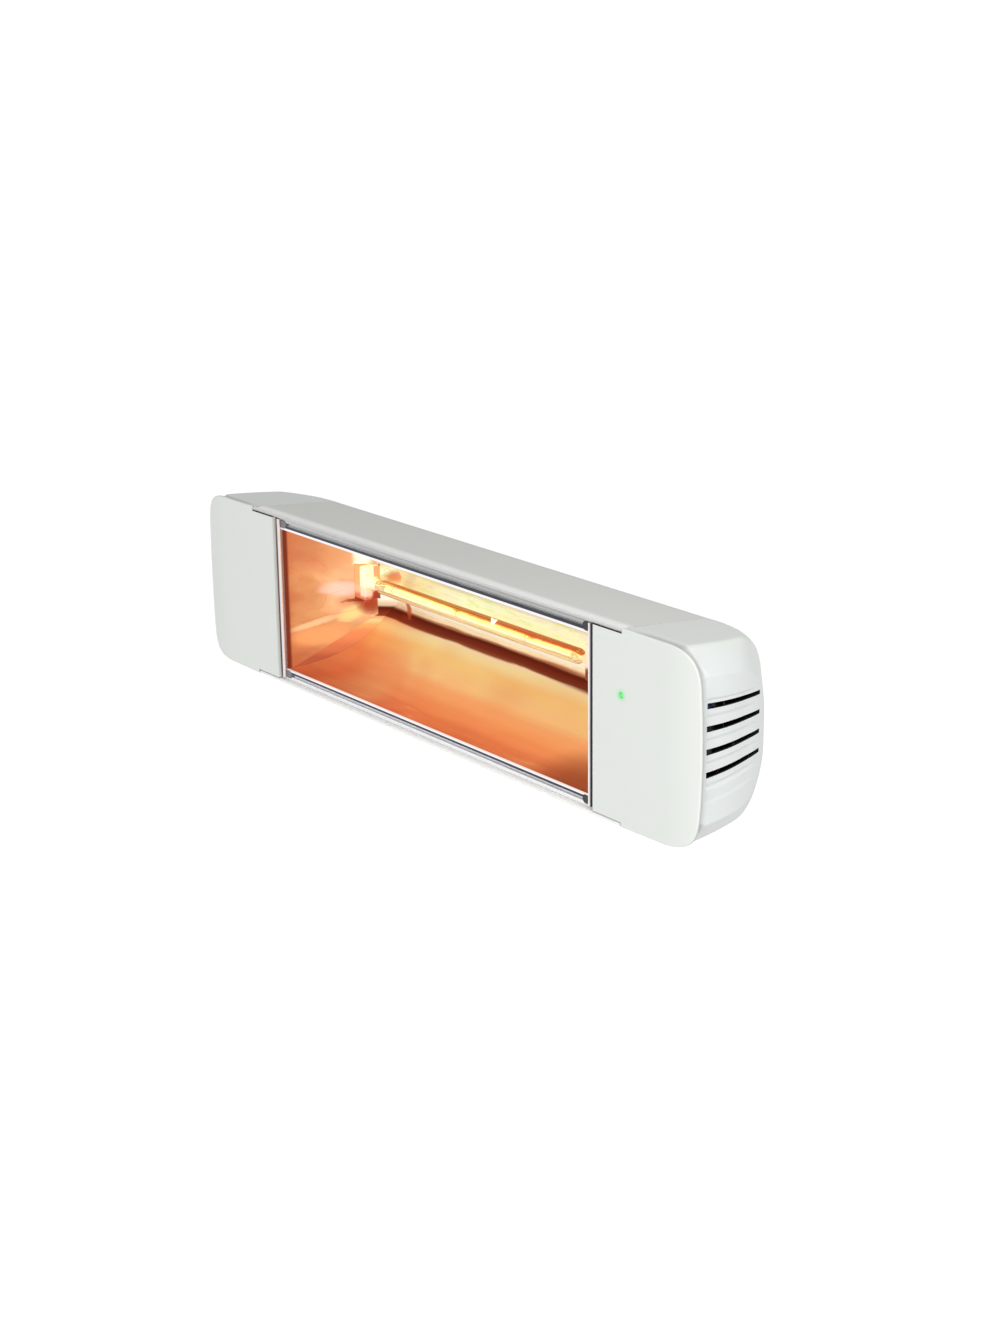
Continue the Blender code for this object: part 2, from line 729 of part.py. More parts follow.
def make_end_cap(side):
    word = "right" if side > 0 else "left"
    cap = make_front_plate(word + "_end_cap", side)
    low_x, high_x = sorted((side * (PLATE_INNER_X - 0.002), side * SEAM_X))
    relief = boxes(word + "_tongue_relief",
                   [((low_x, PLATE_THICKNESS, -FRONT_HEIGHT), (high_x, 0.02, FRONT_HEIGHT))], None)
    boolean(cap, relief)
    boolean(cap, make_body_form(word + "_body_form", side, 0.0, PLATE_THICKNESS * 0.8, SEAM_X), "UNION")
    hollow = make_body_form(word + "_hollow_form", side, CAP_WALL, PLATE_THICKNESS, SEAM_X - 0.001)
    boolean(cap, hollow)
    boolean(cap, make_panel_form(word + "_panel_form", side))
    boolean(cap, make_slot_form(word + "_slot_form", side))
    places = [(side * CAP_SCREW_X, SEAT_U, z) for z in (-CAP_SCREW_Z, CAP_SCREW_Z)]
    for i, (x, u, z) in enumerate(places):
        outline = polygon(CAP_PAD_RADIUS, (x, z), 16, PAD_PHASE)
        boolean(cap, prism(f"{word}_screw_pad_{i}", outline, "Y", CAP_TAB_U + GAP, u, None), "UNION")
    boolean(cap, drill(word + "_cap_holes", CAP_SCREW_RADIUS + GAP, places, (0, 1, 0), -0.012, 0.004))
    return cap


def make_end_caps():
    right = make_end_cap(1)
    left = make_end_cap(-1)
    pipe_hole = drill("pipe_hole", LED_RADIUS + GAP, [(LED_X, 0, LED_Z)], (0, 1, 0), -0.002, 0.007)
    boolean(right, pipe_hole)
    add_board_bosses(right)
    spot = [(GLAND_X, SEAT_U, GLAND_Z)]
    wall = -GLAND_WALL
    outline = polygon(GLAND_BOSS_RADIUS, (GLAND_X, GLAND_Z), 24, PAD_PHASE)
    boss = prism("gland_boss", outline, "Y", SEAT_U + wall - GLAND_NUT - 2 * GAP, SEAT_U, None)
    boolean(left, boss, "UNION")
    well = drill("gland_well", GLAND_BOSS_RADIUS - GLAND_BOSS_WALL, spot, (0, 1, 0), -0.030, wall, 24)
    boolean(left, well)
    gland_hole = drill("gland_hole", GLAND_THREAD + GAP, spot, (0, 1, 0), -0.012, 0.004, 20)
    boolean(left, gland_hole)
    weld(left)
    weld(right)


def make_gaskets():
    """C-shaped seals between the housing's ends and the caps."""
    front_u = PLATE_THICKNESS + GAP
    outer = [(front_u, top_line(front_u, GAP))] + section_arc(GAP)
    inner = [(front_u, top_line(front_u, HOUSING_WALL))] + section_arc(HOUSING_WALL)
    outline = outer + mirror_z(outer) + mirror_z(inner[::-1]) + inner[::-1]
    low = HOUSING_LENGTH / 2 + GAP
    for side, word in ((1, "right"), (-1, "left")):
        ends = sorted((side * low, side * (low + GASKET_THICKNESS)))
        prism(word + "_gasket", outline, "X", *ends, "seal_rubber")


# Bulkheads and their screws

def port_places(x):
    u, z = port_middle(PORT_U)
    return [(x, u, z), (x, u, -z)]


def make_end_plates():
    front_u = PLATE_THICKNESS + 0.001
    upper = [(BOARD_NOTCH_U, BOARD_NOTCH_Z), (front_u, BOARD_NOTCH_Z),
             (front_u, top_line(front_u, END_PLATE_INSET))] + section_arc(END_PLATE_INSET)
    outline = upper + mirror_z(upper)
    tab_u = CAP_TAB_U
    for side, word in ((1, "right"), (-1, "left")):
        ends = sorted((side * END_PLATE_X, side * END_PLATE_OUT_X))
        plate = prism(word + "_end_plate", outline, "X", *ends, "zinc_steel")
        tab_ends = sorted((side * (END_PLATE_X + 0.0004), side * (END_PLATE_X + CAP_TAB_LENGTH)))
        half = CAP_TAB_WIDTH / 2
        corners = [((tab_ends[0], tab_u - END_PLATE_THICKNESS, z - half),
                    (tab_ends[1], tab_u, z + half)) for z in (-CAP_SCREW_Z, CAP_SCREW_Z)]
        boolean(plate, boxes(word + "_tabs", corners, None), "UNION")
        holes = drill(word + "_port_holes", PORT_SCREW_RADIUS + GAP, port_places(side * END_PLATE_X),
                      (side, 0, 0), -0.004, 0.004, 10)
        boolean(plate, holes)
        tab_places = [(side * CAP_SCREW_X, tab_u, z) for z in (-CAP_SCREW_Z, CAP_SCREW_Z)]
        boolean(plate, drill(word + "_tab_holes", CAP_SCREW_RADIUS + GAP, tab_places, (0, 1, 0),
                             -0.004, 0.002, 10))
        window = prism(word + "_cable_window", grommet_outline(0.0), "X",
                       *sorted((side * (END_PLATE_X - 0.002), side * (END_PLATE_OUT_X + 0.002))), None)
        boolean(plate, window)


def screw_profile(shank, head, length, head_height):
    """A domed-head screw: the head's seat is at height 0 and the shank runs down from it."""
    return [(0, -length), (shank, -length), (shank, 0), (head, 0), (head, 0.55 * head_height),
            (0.6 * head, head_height), (0, head_height)]


def make_screws():
    profile = screw_profile(PORT_SCREW_RADIUS - GAP, 0.0029, 0.009, 0.0018)
    for side, word in ((1, "right"), (-1, "left")):
        for level, spot in zip(("upper", "lower"), port_places(side * (END_PLATE_OUT_X + GAP))):
            turned(f"{word}_{level}_plate_screw", profile, spot, (side, 0, 0), "zinc_steel", 10)
    profile = screw_profile(CAP_SCREW_RADIUS, 0.0032, 0.0085, 0.0018)
    for side, word in ((1, "right"), (-1, "left")):
        for level, z in (("upper", CAP_SCREW_Z), ("lower", -CAP_SCREW_Z)):
            spot = (side * CAP_SCREW_X, SEAT_U + GAP, z)
            turned(f"{word}_{level}_cap_screw", profile, spot, (0, 1, 0), "zinc_steel", 12)


def add_separate(bm, profile, origin, axis, steps):
    """Add one more turned solid to a bmesh that holds several."""
    one = bmesh.new()
    add_turned(one, profile, origin, axis, steps)
    merge_poles(one)
    mesh = bpy.data.meshes.new("piece")
    one.to_mesh(mesh)
    one.free()
    bm.from_mesh(mesh)
    bpy.data.meshes.remove(mesh)


# Rails, plugs and trims round the mouth

def rail_outline():
    """Upper rail in (u, z): a band, a recessed groove and a lip behind the reflector's flange."""
    band_u = RAIL_FRONT_U
    groove_u = band_u + 0.0020
    seat_u = MIRROR_FRONT_U + MIRROR_SHEET / 2 + GAP
    back_u = groove_u + 0.0012
    wing_u = band_u + 0.006
    inset = HOUSING_WALL + GAP
    band_low = top_line(band_u, inset) - RAIL_BAND
    seat_top = MIRROR_MOUTH_HALF + MIRROR_FLANGE + GAP
    seat_low = MIRROR_MOUTH_HALF + GAP
    return [(band_u, band_low), (band_u, top_line(band_u, inset)), (wing_u, top_line(wing_u, inset)),
            (wing_u, top_line(wing_u, inset) - 0.001), (back_u, top_line(back_u, inset) - 0.001),
            (back_u, seat_low), (seat_u, seat_low), (seat_u, seat_top), (groove_u, seat_top),
            (groove_u, band_low)]


def make_rails():
    outline = rail_outline()
    half = RAIL_LENGTH / 2
    prism("top_rail", outline, "X", -half, half, "bright_aluminium")
    prism("bottom_rail", mirror_z(outline), "X", -half, half, "bright_aluminium")


def plug_outline(side, z, length, grow):
    """A tongue in (x, z) with a round inner end, grown by the gap where it is used to cut."""
    x = RAIL_LENGTH / 2 - PLUG_LENGTH + length / 2
    return slot_outline(side * x, z, length / 2 + grow, PLUG_HALF_HEIGHT + grow)


def make_rail_plugs():
    """Plugs in the rails' ends; the sheets and rails behind them are notched to clear them."""
    back = PLUG_FRONT_U + PLUG_DEPTH
    for side, word in ((1, "right"), (-1, "left")):
        for level, z in (("top", PLUG_Z), ("bottom", -PLUG_Z)):
            name = f"{word}_{level}_rail_plug"
            prism(name, plug_outline(side, z, PLUG_LENGTH, 0.0), "Y", PLUG_FRONT_U, back, "black_plastic")
            outline = plug_outline(side, z, 2 * PLUG_LENGTH, GAP)
            notch = prism(name + "_notch", outline, "Y", 0.0, back + GAP, None)
            for cut in (level + "_rail", "reflector_trough", word + "_reflector_end"):
                boolean(bpy.data.objects[cut], notch)


def make_side_trims():
    """Upright angle strips between the mouth and the front plates."""
    outer = PLATE_INNER_X - TRIM_GAP
    inner = outer - TRIM_WIDTH
    front, sheet = TRIM_FRONT_U, TRIM_SHEET
    outline = [(inner, front), (outer, front), (outer, front + TRIM_LEG),
               (outer - sheet, front + TRIM_LEG), (outer - sheet, front + sheet), (inner, front + sheet)]
    half = top_line(front + TRIM_LEG, HOUSING_WALL) - GAP
    for side, word in ((1, "right"), (-1, "left")):
        prism(word + "_side_trim", [(side * x, u) for x, u in outline], "Z", -half, half, "cap_plastic")


# Reflector

def trough_profile():
    """Upper edge to lower edge of the trough's middle surface, in (u, z)."""
    front, mouth, back = MIRROR_FRONT_U, MIRROR_MOUTH_HALF, MIRROR_BACK_U
    sheet = MIRROR_SHEET / 2
    ceiling = [(front, mouth - sheet), (back - 0.020, mouth - 0.005), (back - 0.003, LAMP_Z + 0.014)]
    wing = [(back - 0.008, LAMP_Z - 0.023), (back - 0.022, LAMP_Z - 0.052), (front, sheet - mouth)]
    points = [tuple(curve_point(ceiling, i / 7)) for i in range(8)]
    points += [(back, LAMP_Z + 0.005), (back, LAMP_Z - 0.005), (back - 0.002, LAMP_Z - 0.015)]
    points += [tuple(curve_point(wing, i / 9)) for i in range(10)]
    return points


def mirror_end_x(u):
    return MIRROR_LENGTH / 2 - (u - MIRROR_FRONT_U) * MIRROR_END_SLOPE


def make_trough():
    inner = trough_profile()
    flange = MIRROR_MOUTH_HALF + MIRROR_FLANGE
    profile = [(MIRROR_FRONT_U, flange)] + inner + [(MIRROR_FRONT_U, -flange)]
    bm = bmesh.new()
    rows = []
    for u, z in profile:
        x = mirror_end_x(u) - 2 * GAP
        rows.append([bm.verts.new((-x, u, z)), bm.verts.new((x, u, z))])
    for near, far in zip(rows, rows[1:]):
        bm.faces.new((near[0], near[1], far[1], far[0]))
    mesh = bpy.data.meshes.new("reflector_trough")
    bm.to_mesh(mesh)
    bm.free()
    mesh.shade_smooth()
    mesh.set_sharp_from_angle(angle=math.radians(25))
    made = bpy.data.objects.new("reflector_trough", mesh)
    bpy.context.collection.objects.link(made)
    mesh.materials.append(material("mirror_aluminium"))
    made.parent = PARENT["heater"]
    sheet = made.modifiers.new("sheet", "SOLIDIFY")
    sheet.thickness = MIRROR_SHEET
    sheet.offset = 0.0
    sheet.use_even_offset = True


def holder_box(side, gap):
    """Corners of a lamp holder, grown by gap."""
    ends = sorted((side * (HOLDER_FACE_X - gap), side * (HOLDER_FACE_X + HOLDER_LENGTH + gap)))
    low_z = LAMP_Z - 0.48 * HOLDER_HEIGHT - gap
    high_z = low_z + HOLDER_HEIGHT + 2 * gap
    return ((ends[0], LAMP_U - HOLDER_WIDTH / 2 - gap, low_z),
            (ends[1], LAMP_U + HOLDER_WIDTH / 2 + gap, high_z))


def end_normal(side):
    return Vector((side, MIRROR_END_SLOPE, 0)).normalized()


def rivet_place(side):
    return side * mirror_end_x(RIVET_U), RIVET_U, LAMP_Z + RIVET_ABOVE_LAMP


def make_reflector_ends():
    front = MIRROR_FRONT_U + MIRROR_SHEET / 2 + 0.0004
    profile = [p for p in trough_profile() if p[0] > front]
    edge = MIRROR_MOUTH_HALF - MIRROR_SHEET / 2
    profile = [(front, edge)] + profile + [(front, -edge)]
    for side, word in ((1, "right"), (-1, "left")):
        shift = end_normal(side) * MIRROR_SHEET
        bm = bmesh.new()
        near = [bm.verts.new((side * mirror_end_x(u), u, z)) for u, z in profile]
        far = [bm.verts.new(v.co + shift) for v in near]
        bm.faces.new(near)
        bm.faces.new(list(reversed(far)))
        for i in range(len(near)):
            j = (i + 1) % len(near)
            bm.faces.new((near[i], far[i], far[j], near[j]))
        end = finish_mesh(bm, word + "_reflector_end", "mirror_aluminium", "heater")
        boolean(end, boxes(word + "_holder_window", [holder_box(side, 0.0004)], None))
        boolean(end, drill(word + "_rivet_holes", RIVET_RADIUS + GAP, [rivet_place(side)],
                           end_normal(side), -0.004, 0.006, 8))


# Lamp and its holders

def make_lamp():
    along = (1, 0, 0)
    centre = (0, LAMP_U, LAMP_Z)
    bore = TUBE_RADIUS - TUBE_WALL
    turned("lamp_tube", ring(bore, TUBE_RADIUS, -TUBE_END_X, TUBE_END_X), centre, along, "quartz", 20)
    spacing = 2 * TUBE_END_X / (FILAMENT_SUPPORTS + 1)
    profile = [(0, -TUBE_END_X), (FILAMENT_RADIUS, -TUBE_END_X)]
    for i in range(FILAMENT_SUPPORTS):
        x = -TUBE_END_X + spacing * (i + 1)
        profile += [(FILAMENT_RADIUS, x - SUPPORT_WIDTH / 2), (bore - GAP, x - SUPPORT_WIDTH / 2),
                    (bore - GAP, x + SUPPORT_WIDTH / 2), (FILAMENT_RADIUS, x + SUPPORT_WIDTH / 2)]
    profile += [(FILAMENT_RADIUS, TUBE_END_X), (0, TUBE_END_X)]
    turned("lamp_filament", profile, centre, along, "tungsten", 10)
    start = TUBE_END_X + GAP
    profile = [(0, 0), (0.8 * BASE_RADIUS, 0), (BASE_RADIUS, 0.001), (BASE_RADIUS, BASE_LENGTH - 0.001),
               (0.8 * BASE_RADIUS, BASE_LENGTH), (0, BASE_LENGTH)]
    for side, word in ((1, "right"), (-1, "left")):
        turned(word + "_lamp_base", profile, (side * start, LAMP_U, LAMP_Z), (side, 0, 0),
               "ceramic", 16)


# Lamp holders, their brackets and rivets

def make_holders():
    sheet = MIRROR_SHEET + BRACKET_SHEET + 2 * GAP
    rivet = [(0, -0.0010), (2.1 * RIVET_RADIUS, -0.0010), (2.1 * RIVET_RADIUS, -GAP), (RIVET_RADIUS, -GAP),
             (RIVET_RADIUS, sheet), (2.1 * RIVET_RADIUS, sheet), (2.1 * RIVET_RADIUS, sheet + 0.0008),
             (0, sheet + 0.0008)]
    for side, word in ((1, "right"), (-1, "left")):
        along = (side, 0, 0)
        holder = boxes(word + "_lamp_holder", [holder_box(side, 0.0)], "ceramic", edge=0.0010)
        face = [(side * HOLDER_FACE_X, LAMP_U, LAMP_Z)]
        boolean(holder, drill(word + "_socket", BASE_RADIUS + GAP, face, along, -0.002, SOCKET_DEPTH))
        boolean(holder, drill(word + "_wire_hole", LEAD_RADIUS + GAP, face, along, SOCKET_DEPTH - 0.001,
                              HOLDER_LENGTH + 0.002, 12))
        turned(word + "_holder_rivet", rivet, rivet_place(side), end_normal(side), "zinc_steel", 12)
        make_holder_bracket(side, word)


def make_holder_bracket(side, word):
    """A bent strip: riveted along the reflector's end, along the holder's back, then behind it."""
    length = math.hypot(1, MIRROR_END_SLOPE)
    inner = (MIRROR_SHEET + GAP) * length
    outer = inner + BRACKET_SHEET * length
    back_u = LAMP_U + HOLDER_WIDTH / 2 + GAP
    end_x = HOLDER_FACE_X + HOLDER_LENGTH + GAP

    def foot_x(u, offset):
        return mirror_end_x(u) + offset

    step = BRACKET_SHEET / length
    outline = [(end_x + BRACKET_SHEET, BRACKET_LEG_U), (end_x, BRACKET_LEG_U), (end_x, back_u),
               (foot_x(back_u, inner), back_u), (foot_x(BRACKET_FOOT_U, inner), BRACKET_FOOT_U),
               (foot_x(BRACKET_FOOT_U, inner) + step, BRACKET_FOOT_U + step),
               (foot_x(back_u + BRACKET_SHEET, outer), back_u + BRACKET_SHEET),
               (end_x + BRACKET_SHEET, back_u + BRACKET_SHEET)]
    half = BRACKET_WIDTH / 2
    bracket = prism(word + "_holder_bracket", [(side * x, u) for x, u in outline], "Z",
                    LAMP_Z - half, LAMP_Z + half, "zinc_steel")
    boolean(bracket, drill(word + "_lead_clearance", LEAD_RADIUS + 0.001, [(side * end_x, LAMP_U, LAMP_Z)],
                           (side, 0, 0), -0.003, 0.004, 12))
    boolean(bracket, drill(word + "_foot_hole", RIVET_RADIUS + GAP, [rivet_place(side)],
                           end_normal(side), -0.004, 0.006, 8))


# Wiring

def make_wiring():
    half = HOUSING_LENGTH / 2
    for side, word in ((1, "right"), (-1, "left")):
        make_grommet(side, word)
        start = BASE_END_X + GAP
        route = [(start + 0.006 * i, LAMP_U, LAMP_Z) for i in range(4)]
        route += [(start + 0.030, LAMP_U + 0.005, LAMP_Z - 0.002), (half - 0.021, CABLE_U - 0.005, -0.001),
                 (half - 0.009, CABLE_U, LEAD_Z + 0.001), (half, CABLE_U, LEAD_Z),
                 (half + 0.0045, CABLE_U, LEAD_Z)]
        if side > 0:
            x, z = RELAY_X + 0.004, RELAY_Z + 0.007
            route += [(x - 0.020, CABLE_U - 0.003, LEAD_Z + 0.005), (x - 0.009, CABLE_U - 0.012, z - 0.011),
                      (x - 0.001, RELAY_BACK_U + 0.012, z - 0.002), (x, RELAY_BACK_U + 0.005, z),
                      (x, RELAY_BACK_U + GAP, z)]
        else:
            x, top = -TERMINAL_X, TERMINAL_LOW + TERMINAL_HEIGHT
            route += [(x + 0.002, CABLE_U - 0.004, top - 0.021), (x + 0.003, CABLE_U - 0.010, top),
                      (x + 0.001, TERMINAL_U + 0.006, top + 0.008), (x, TERMINAL_U, top + 0.006),
                      (x, TERMINAL_U, top + GAP)]
        wire(word + "_lamp_lead", [(side * x, u, z) for x, u, z in route], LEAD_RADIUS, "lead_sleeve")
    route = [(TERMINAL_X, TERMINAL_U, TERMINAL_LOW - GAP), (TERMINAL_X, TERMINAL_U, TERMINAL_LOW - 0.005),
             (TERMINAL_X - 0.001, TERMINAL_U + 0.009, LINK_Z + 0.002),
             (TERMINAL_X, CABLE_U - 0.007, LINK_Z), (-half - 0.0045, CABLE_U, LINK_Z)]
    route += [(half * t, CABLE_U, LINK_Z) for t in (-1.0, -0.9, -0.3, 0.3, 0.9, 1.0)]
    route += [(half + 0.0045, CABLE_U, LINK_Z), (CONNECTOR_X - 0.005, CABLE_U - 0.007, LINK_Z - 0.001),
              (CONNECTOR_X - 0.001, CABLE_U - 0.018, CONNECTOR_Z + 0.002),
              (CONNECTOR_X, CONNECTOR_BACK_U + 0.005, CONNECTOR_Z),
              (CONNECTOR_X, CONNECTOR_BACK_U + GAP, CONNECTOR_Z)]
    wire("link_cable", route, LINK_RADIUS, "cable_sheath")


def grommet_outline(grow):
    """Long-sided outline in (u, z) round both wires, grown past the end plate's window."""
    half_u = LINK_RADIUS + GAP + GROMMET_WALL
    top = LEAD_Z + LEAD_RADIUS + GAP + GROMMET_WALL
    low = LINK_Z - half_u
    outline = slot_outline((top + low) / 2, CABLE_U, (top - low) / 2 + grow, half_u + grow)
    return [(u, z) for z, u in outline]


def make_grommet(side, word):
    """A rubber bush with a groove for the end plate and a bore for each wire."""
    lip = 0.0010
    stations = [(END_PLATE_X - GAP - lip, lip), (END_PLATE_X - GAP, lip), (END_PLATE_X - GAP, -GAP),
                (END_PLATE_OUT_X + GAP, -GAP), (END_PLATE_OUT_X + GAP, lip),
                (END_PLATE_OUT_X + GAP + lip, lip)]
    bm = bmesh.new()
    add_loft(bm, [[(side * x, u, z) for u, z in grommet_outline(grow)] for x, grow in stations])
    bush = finish_mesh(bm, word + "_grommet", "seal_rubber", "heater")
    for kind, radius, z in (("lead", LEAD_RADIUS, LEAD_Z), ("link", LINK_RADIUS, LINK_Z)):
        spot = [(side * END_PLATE_X, CABLE_U, z)]
        boolean(bush, drill(f"{word}_{kind}_bore", radius + GAP, spot, (side, 0, 0), -0.004, 0.006))


# Electronics

def make_board():
    """The board with the small parts soldered to it."""
    low_x, high_x = BOARD_START_X, BOARD_START_X + BOARD_LENGTH
    half = BOARD_HEIGHT / 2
    back = BOARD_U + BOARD_THICKNESS
    board = boxes("control_board", [((low_x, BOARD_U, -half), (high_x, back, half))], "circuit_board")
    sunk = back - 0.0004
    plug = ((CONNECTOR_X - 0.006, sunk, CONNECTOR_Z - 0.006),
            (CONNECTOR_X + 0.006, CONNECTOR_BACK_U, CONNECTOR_Z + 0.006))
    boolean(board, boxes("board_connector", [plug], None), "UNION")
    can = [(0, sunk), (0.0062, sunk), (0.0062, back + 0.011), (0.0055, back + 0.012), (0, back + 0.012)]
    spot = (CAPACITOR_X, 0, CAPACITOR_Z)
    boolean(board, turned("board_capacitor", can, spot, (0, 1, 0), None, 16), "UNION")
    radio = ((low_x + 0.016, sunk, 0.0265), (low_x + 0.032, back + 0.005, 0.0325))
    boolean(board, boxes("board_receiver", [radio], None), "UNION")
    sink_x = low_x + 0.0095
    fin = 0.0014
    sink = [((sink_x, sunk, -0.016), (sink_x + 0.003, back + 0.019, 0.010))]
    fins = boxes("board_heat_sink", sink, None)
    gaps = []
    for i in range(6):
        low = back + fin * (2 * i + 1)
        gaps.append(((sink_x - 0.001, low, -0.017), (sink_x + 0.0016, low + fin, 0.011)))
    boolean(fins, boxes("fin_gaps", gaps, None))
    boolean(board, fins, "UNION")
    holes = [(x, BOARD_U, z) for x, z in board_screw_spots()]
    boolean(board, drill("board_holes", BOARD_SCREW_RADIUS + GAP, holes, (0, 1, 0), -0.002, 0.004, 10))
    screw = screw_profile(BOARD_SCREW_RADIUS, 0.0024, 0.0060, 0.0013)
    for word, (x, z) in zip(("inner", "outer"), board_screw_spots()):
        turned(word + "_board_screw", screw, (x, back + GAP, z), (0, 1, 0), "brass", 10)


def board_screw_spots():
    reach = BOARD_HEIGHT / 2 - BOSS_INSET
    near, far = BOARD_START_X + 0.012, BOARD_START_X + BOARD_LENGTH - BOSS_INSET
    return [(near, reach), (far, -reach)]


def board_boss_spots():
    (near, high), (far, low) = board_screw_spots()
    return [(near, high), (far, low), (near, low), (far, high)]


def add_board_bosses(cap):
    """Posts moulded inside the right cap's plate; two of them take the board's screws."""
    for i, (x, z) in enumerate(board_boss_spots()):
        start = end_curve(x) + 0.6 * PLATE_THICKNESS
        outline = polygon(BOSS_RADIUS, (x, z), 12, PAD_PHASE)
        post = prism(f"board_boss_{i}", outline, "Y", start, BOARD_U - GAP, None)
        boolean(cap, post, "UNION")
    holes = [(x, BOARD_U, z) for x, z in board_screw_spots()]
    boolean(cap, drill("boss_holes", BOARD_SCREW_RADIUS + GAP, holes, (0, 1, 0), -0.0062, 0.002, 10))


def make_board_parts():
    seat = BOARD_U + BOARD_THICKNESS + GAP
    relay = ((RELAY_X, seat, RELAY_Z), (RELAY_X + 0.018, RELAY_BACK_U, RELAY_Z + 0.014))
    boxes("relay", [relay], "relay_blue", edge=0.0006)
    core = ((RELAY_X - 0.002, seat, -0.012), (RELAY_X + 0.018, seat + 0.016, 0.008))
    transformer = boxes("transformer", [core], "grey_plastic", edge=0.0008)
    middle = (core[0][2] + core[1][2]) / 2
    windows = [((core[0][0] - 0.001, seat + 0.004, middle + s * 0.0060 - 0.002),
                (core[0][0] + 0.0018, seat + 0.0125, middle + s * 0.0060 + 0.002)) for s in (-1, 1)]
    boolean(transformer, boxes("winding_windows", windows, None))
    lens = [(0, 0.0001), (0.6 * LED_RADIUS, 0.0003), (LED_RADIUS, 0.0010), (LED_RADIUS, 0.0070),
            (1.25 * LED_RADIUS, 0.0070), (1.25 * LED_RADIUS, BOARD_U - GAP), (0, BOARD_U - GAP)]
    turned("status_led", lens, (LED_X, 0.0, LED_Z), (0, 1, 0), "indicator_green", 16)


def make_terminal_block():
    half_x, half_u = TERMINAL_WIDTH / 2, TERMINAL_DEPTH / 2
    low = (TERMINAL_X - half_x, TERMINAL_U - half_u, TERMINAL_LOW)
    high = (TERMINAL_X + half_x, TERMINAL_U + half_u, TERMINAL_LOW + TERMINAL_HEIGHT)
    block = boxes("terminal_block", [(low, high)], "ceramic", edge=0.0008)
    pitch = TERMINAL_HEIGHT / 3
    rows = [TERMINAL_LOW + pitch * (i + 0.5) for i in range(3)]
    places = [(low[0], TERMINAL_U, z) for z in rows]
    boolean(block, drill("terminal_holes", 0.0026, places, (-1, 0, 0), -0.006, 0.002, 10))
    slots = [((low[0] - 0.001, low[1] - 0.001, z - 0.0006), (low[0] + 0.003, high[1] + 0.001, z + 0.0006))
             for z in (TERMINAL_LOW + pitch, TERMINAL_LOW + 2 * pitch)]
    boolean(block, boxes("terminal_slots", slots, None))


def make_gland():
    outward = (0, 1, 0)
    spot = (GLAND_X, SEAT_U, GLAND_Z)
    hex_out = polygon(GLAND_HEX / math.cos(math.pi / 6), (GLAND_X, GLAND_Z))
    body = prism("gland_body", hex_out, "Y", SEAT_U + GAP, SEAT_U + 0.0055, "black_plastic")
    stem = turned("gland_stem", rod(GLAND_THREAD, -0.0065, 0.0105), spot, outward, None, 20)
    boolean(body, stem, "UNION")
    boolean(body, drill("gland_bore", GLAND_BORE, [spot], outward, -0.010, 0.015))
    nut_back = SEAT_U - GLAND_WALL - GAP
    nut = prism("gland_locknut", hex_out, "Y", nut_back - GLAND_NUT, nut_back, "black_plastic")
    boolean(nut, drill("locknut_bore", GLAND_THREAD + GAP, [spot], outward, -0.012, 0.004, 20))
    cap_low = 0.0055 + GAP
    outer = GLAND_HEX
    profile = [(GLAND_THREAD + GAP, cap_low), (outer, cap_low), (outer, cap_low + 0.006),
               (0.75 * outer, cap_low + 0.0095), (GLAND_BORE, cap_low + 0.0100),
               (GLAND_BORE, cap_low + 0.0080), (GLAND_THREAD + GAP, cap_low + 0.0060)]
    turned("gland_cap", profile, spot, outward, "black_plastic", 20)


# Wall bracket, yoke and tilt joint

def ear_outline(root_u, pivot_u, radius, toward_back, steps=8):
    """An ear in (u, z): straight from its root, round about the pivot."""
    sign = 1 if toward_back else -1
    tip = arc((pivot_u, 0.0), radius, -sign * math.pi / 2, sign * math.pi / 2, steps)
    return [(root_u, -sign * radius * 1.25)] + tip + [(root_u, sign * radius * 1.25)]


def slot_outline(x, z, half_x, half_z):
    right = arc((x + half_x - half_z, z), half_z, -math.pi / 2, math.pi / 2, 5)
    left = arc((x - half_x + half_z, z), half_z, math.pi / 2, 1.5 * math.pi, 5)
    return right + left


def make_wall_plate():
    half_x, half_z = WALL_PLATE_WIDTH / 2, WALL_PLATE_HEIGHT / 2
    corner = 0.005
    outline = []
    for sx, sz, start in ((1, 1, 0), (-1, 1, 1), (-1, -1, 2), (1, -1, 3)):
        centre = (sx * (half_x - corner), sz * (half_z - corner))
        outline += arc(centre, corner, start * math.pi / 2, (start + 1) * math.pi / 2, 4)
    plate = prism("wall_plate", outline, "Y", -BRACKET_THICKNESS, 0.0, "zinc_steel", "wall")
    ears = bmesh.new()
    outline = ear_outline(-BRACKET_THICKNESS / 2, -PIVOT_TO_WALL, EAR_RADIUS, False)
    for side in (1, -1):
        add_prism(ears, outline, "X", *sorted((side * EAR_INNER_X, side * EAR_OUTER_X)))
    boolean(plate, finish_mesh(ears, "wall_ears", None, "wall"), "UNION")
    axis_spot = [(0, -PIVOT_TO_WALL, 0)]
    reach = EAR_OUTER_X + 0.004
    boolean(plate, drill("wall_ear_bores", PIVOT_RADIUS + GAP, axis_spot, (1, 0, 0), -reach, reach, 20,
                         "wall"))
    slots = bmesh.new()
    for sx in (1, -1):
        for sz in (1, -1):
            outline = slot_outline(sx * WALL_SLOT_X, sz * WALL_SLOT_Z, 0.0055, 0.003)
            add_prism(slots, outline, "Y", -0.006, 0.003)
    boolean(plate, finish_mesh(slots, "wall_slots", None, "wall"))


EAR_INNER_X = YOKE_WIDTH / 2 + WASHER_THICKNESS + 2 * GAP
EAR_OUTER_X = EAR_INNER_X + BRACKET_THICKNESS


